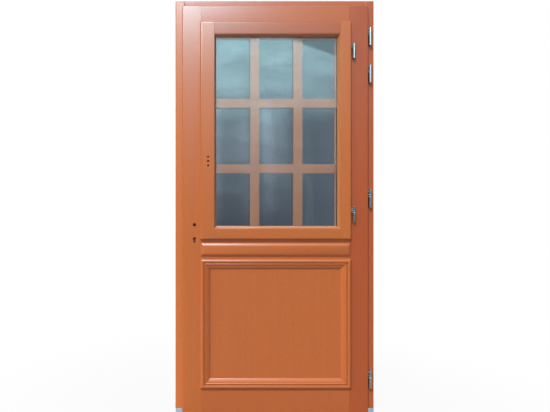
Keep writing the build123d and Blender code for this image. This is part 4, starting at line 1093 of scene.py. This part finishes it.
def studio_world(look):
    """White to the camera, a soft sky for reflections, dusk through the glass, grey fill."""
    least_depth, seam = 0.05, 0.02
    fill_foot, fill_top = -0.2, 0.8
    rear_glow = (0.55, 0.60, 0.64)
    dusk = (0.062, 0.068, 0.085)
    low_fill, high_fill = look.sky_strength * 0.3, look.sky_strength * 2.6
    world = bpy.data.worlds.new("studio")
    world.use_nodes = True
    tree = world.node_tree
    tree.nodes.clear()
    way = node(tree, "ShaderNodeTexCoord").outputs["Generated"]
    parts = node(tree, "ShaderNodeSeparateXYZ", {0: way}).outputs
    depth = calc(tree, "MAXIMUM", calc(tree, "ABSOLUTE", parts["Y"]), least_depth)
    across = calc(tree, "DIVIDE", parts["X"], depth)
    up = calc(tree, "DIVIDE", parts["Z"], depth)
    reflected = mirrored_view(tree, across, up)
    behind = ramp(tree, parts["Y"], -seam, seam)
    mirrored = mix(tree, behind, reflected, rear_glow)
    seen_through = mix(tree, behind, reflected, dusk)
    light = grey(tree, ramp(tree, parts["Z"], fill_foot, fill_top, low_fill, high_fill))
    ray = node(tree, "ShaderNodeLightPath").outputs
    light = mix(tree, ray["Is Glossy Ray"], light, mirrored)
    light = mix(tree, ray["Is Transmission Ray"], light, seen_through)
    light = mix(tree, ray["Is Camera Ray"], light, WHITE)
    shine = node(tree, "ShaderNodeBackground", {"Color": light, "Strength": 1.0})
    surface = node(tree, "ShaderNodeOutputWorld", {"Surface": shine.outputs[0]})
    surface.is_active_output = True
    bpy.context.scene.world = world


def flat_card(label, corners, material):
    """A sheet with four corners, facing the side from which they are seen to run anticlockwise."""
    mesh = bpy.data.meshes.new(label)
    mesh.from_pydata(corners, [], [(0, 1, 2, 3)])
    mesh.materials.append(material)
    return scene_object(label, mesh)


def studio_floor():
    """A grey floor that the camera sees nearly white, and wholly white further off."""
    half, below = 9.0, -0.0006
    fade_start, fade_end = 0.5, 2.0
    floor_grey = (0.3, 0.3, 0.3)
    corners = [(-half, -half, below), (half, -half, below), (half, half, below), (-half, half, below)]
    material, tree, shader = new_material("pale_floor")
    feed(tree, shader, Base_Color=rgba(floor_grey), Roughness=0.75)
    away = node(
        tree, "ShaderNodeVectorMath", {0: object_place(tree)}, operation="LENGTH"
    ).outputs["Value"]
    fade = ramp(tree, away, fade_start, fade_end, 0.93, 1.0)
    seen = times(tree, fade, node(tree, "ShaderNodeLightPath").outputs["Is Camera Ray"])
    white = node(tree, "ShaderNodeEmission", {"Color": rgba(WHITE)})
    surface_mix(tree, seen, shader, white)
    flat_card("studio_floor", corners, material)


def painted_hole_shade_card():
    """A dark card of painted shade behind the open lock holes, seen from the front only, that rides
    on the leaf: it glows dark brown to camera rays.
    """
    half, rise, drop, gap = 0.014, 0.014, 0.03, 0.001
    painted_shade_colour = (0.09, 0.022, 0.006)
    spindle, cylinder = MOUNT_AT["door_handle_spindle"], MOUNT_AT["lock_cylinder"]
    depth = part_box("leaf_stile_lock")[1].y + gap
    left, right = spindle.x - half, spindle.x + half
    foot, top = cylinder.z - drop, spindle.z + rise
    corners = [(left, depth, foot), (right, depth, foot), (right, depth, top), (left, depth, top)]
    material, tree, _ = new_material("room_shade")
    ray = node(tree, "ShaderNodeLightPath").outputs["Is Camera Ray"]
    front = calc(tree, "SUBTRACT", 1.0, node(tree, "ShaderNodeNewGeometry").outputs["Backfacing"])
    clear = node(tree, "ShaderNodeBsdfTransparent", {"Color": rgba(WHITE)})
    shade = node(tree, "ShaderNodeEmission", {"Color": rgba(painted_shade_colour)})
    surface_mix(tree, times(tree, front, ray), clear, shade)
    card = flat_card("painted_hole_shade_card", corners, material)
    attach(card, "leaf")


def add_light(name, kind, place, power, colour, **shape):
    """A light that faces the middle of the door, and that gloss and glass don't show at first."""
    data = bpy.data.lights.new(name, kind)
    data.energy = power
    data.color = colour
    for key, value in shape.items():
        setattr(data, key, value)
    made = scene_object(name, data)
    made.location = place
    made.rotation_euler = (Vector(DOOR_MIDDLE) - Vector(place)).to_track_quat("-Z", "Y").to_euler()
    made.visible_glossy = False
    made.visible_transmission = False
    return made


class DOOR_OT_studio(bpy.types.Operator):
    """Set the floor, the lights and the camera"""

    bl_idname = "door.studio"
    bl_label = "Studio"

    def execute(self, context):
        look = context.scene.door_stage
        context.scene.view_settings.view_transform = "Standard"
        studio_world(look)
        studio_floor()
        # A dark card of painted shade behind the lock holes.
        painted_hole_shade_card()
        key_place, side_place = (-1.62, -2.4, 4.6), (-4.0, -1.5, 2.2)
        rear_place, sheen_place = (-1.7, 3.0, 3.4), (-0.52, -2.5, 4.0)
        warm, cool = (1.0, 0.98, 0.95), (0.62, 0.96, 1.14)
        key_angle, side_angle = math.radians(9.0), math.radians(20.0)
        add_light("key_light", "SUN", key_place, look.key_strength, warm, angle=key_angle)
        add_light("rear_light", "AREA", rear_place, look.rear_power, WHITE, size=1.6)
        add_light("side_light", "SUN", side_place, look.side_strength, warm, angle=side_angle)
        sheen = add_light("sheen_light", "AREA", sheen_place, look.sheen_power, cool, size=1.2)
        sheen.visible_glossy = True
        sheen.visible_diffuse = False
        camera = bpy.data.cameras.new("camera")
        camera.lens = look.lens
        camera.sensor_width = 36.0
        camera.shift_x = look.camera_shift
        seen_from = scene_object("camera", camera)
        seen_from.location = look.camera_place
        seen_from.rotation_euler = (QUARTER_TURN, 0.0, 0.0)
        context.scene.camera = seen_from
        return {"FINISHED"}


class DOOR_PT_sidebar(bpy.types.Panel):
    """Settings and steps of the front door"""

    bl_label = "Front door"
    bl_idname = "DOOR_PT_sidebar"
    bl_space_type = "VIEW_3D"
    bl_region_type = "UI"
    bl_category = "Front door"

    def draw(self, context):
        for name, kind in SETTINGS.items():
            box = self.layout.box()
            for label in kind.__annotations__:
                box.prop(getattr(context.scene, name), label)
        for operator in OPERATORS:
            self.layout.operator(operator.bl_idname)


SETTINGS = {
    "door_timber": TimberSettings,
    "door_glass": GlassSettings,
    "door_metal": MetalSettings,
    "door_stage": StageSettings,
}
OPERATORS = (
    DOOR_OT_frame_timber,
    DOOR_OT_leaf_timber,
    DOOR_OT_mouldings,
    DOOR_OT_sash_timber,
    DOOR_OT_glazing,
    DOOR_OT_seals,
    DOOR_OT_threshold,
    DOOR_OT_hinges,
    DOOR_OT_lock,
    DOOR_OT_window_gear,
    DOOR_OT_screws,
    DOOR_OT_studio,
)


def register():
    """Register the settings, the operators and the panel."""
    for name, kind in SETTINGS.items():
        bpy.utils.register_class(kind)
        setattr(bpy.types.Scene, name, bpy.props.PointerProperty(type=kind))
    for kind in (*OPERATORS, DOOR_PT_sidebar):
        bpy.utils.register_class(kind)


def unregister():
    """Take out the panel, the operators and the settings."""
    for kind in reversed((*OPERATORS, DOOR_PT_sidebar)):
        bpy.utils.unregister_class(kind)
    for name, kind in SETTINGS.items():
        delattr(bpy.types.Scene, name)
        bpy.utils.unregister_class(kind)


def main():
    """Build every piece and the stage."""
    register()
    for operator in OPERATORS:
        group, name = operator.bl_idname.split(".")
        getattr(getattr(bpy.ops, group), name)()


if __name__ == "__main__":
    main()
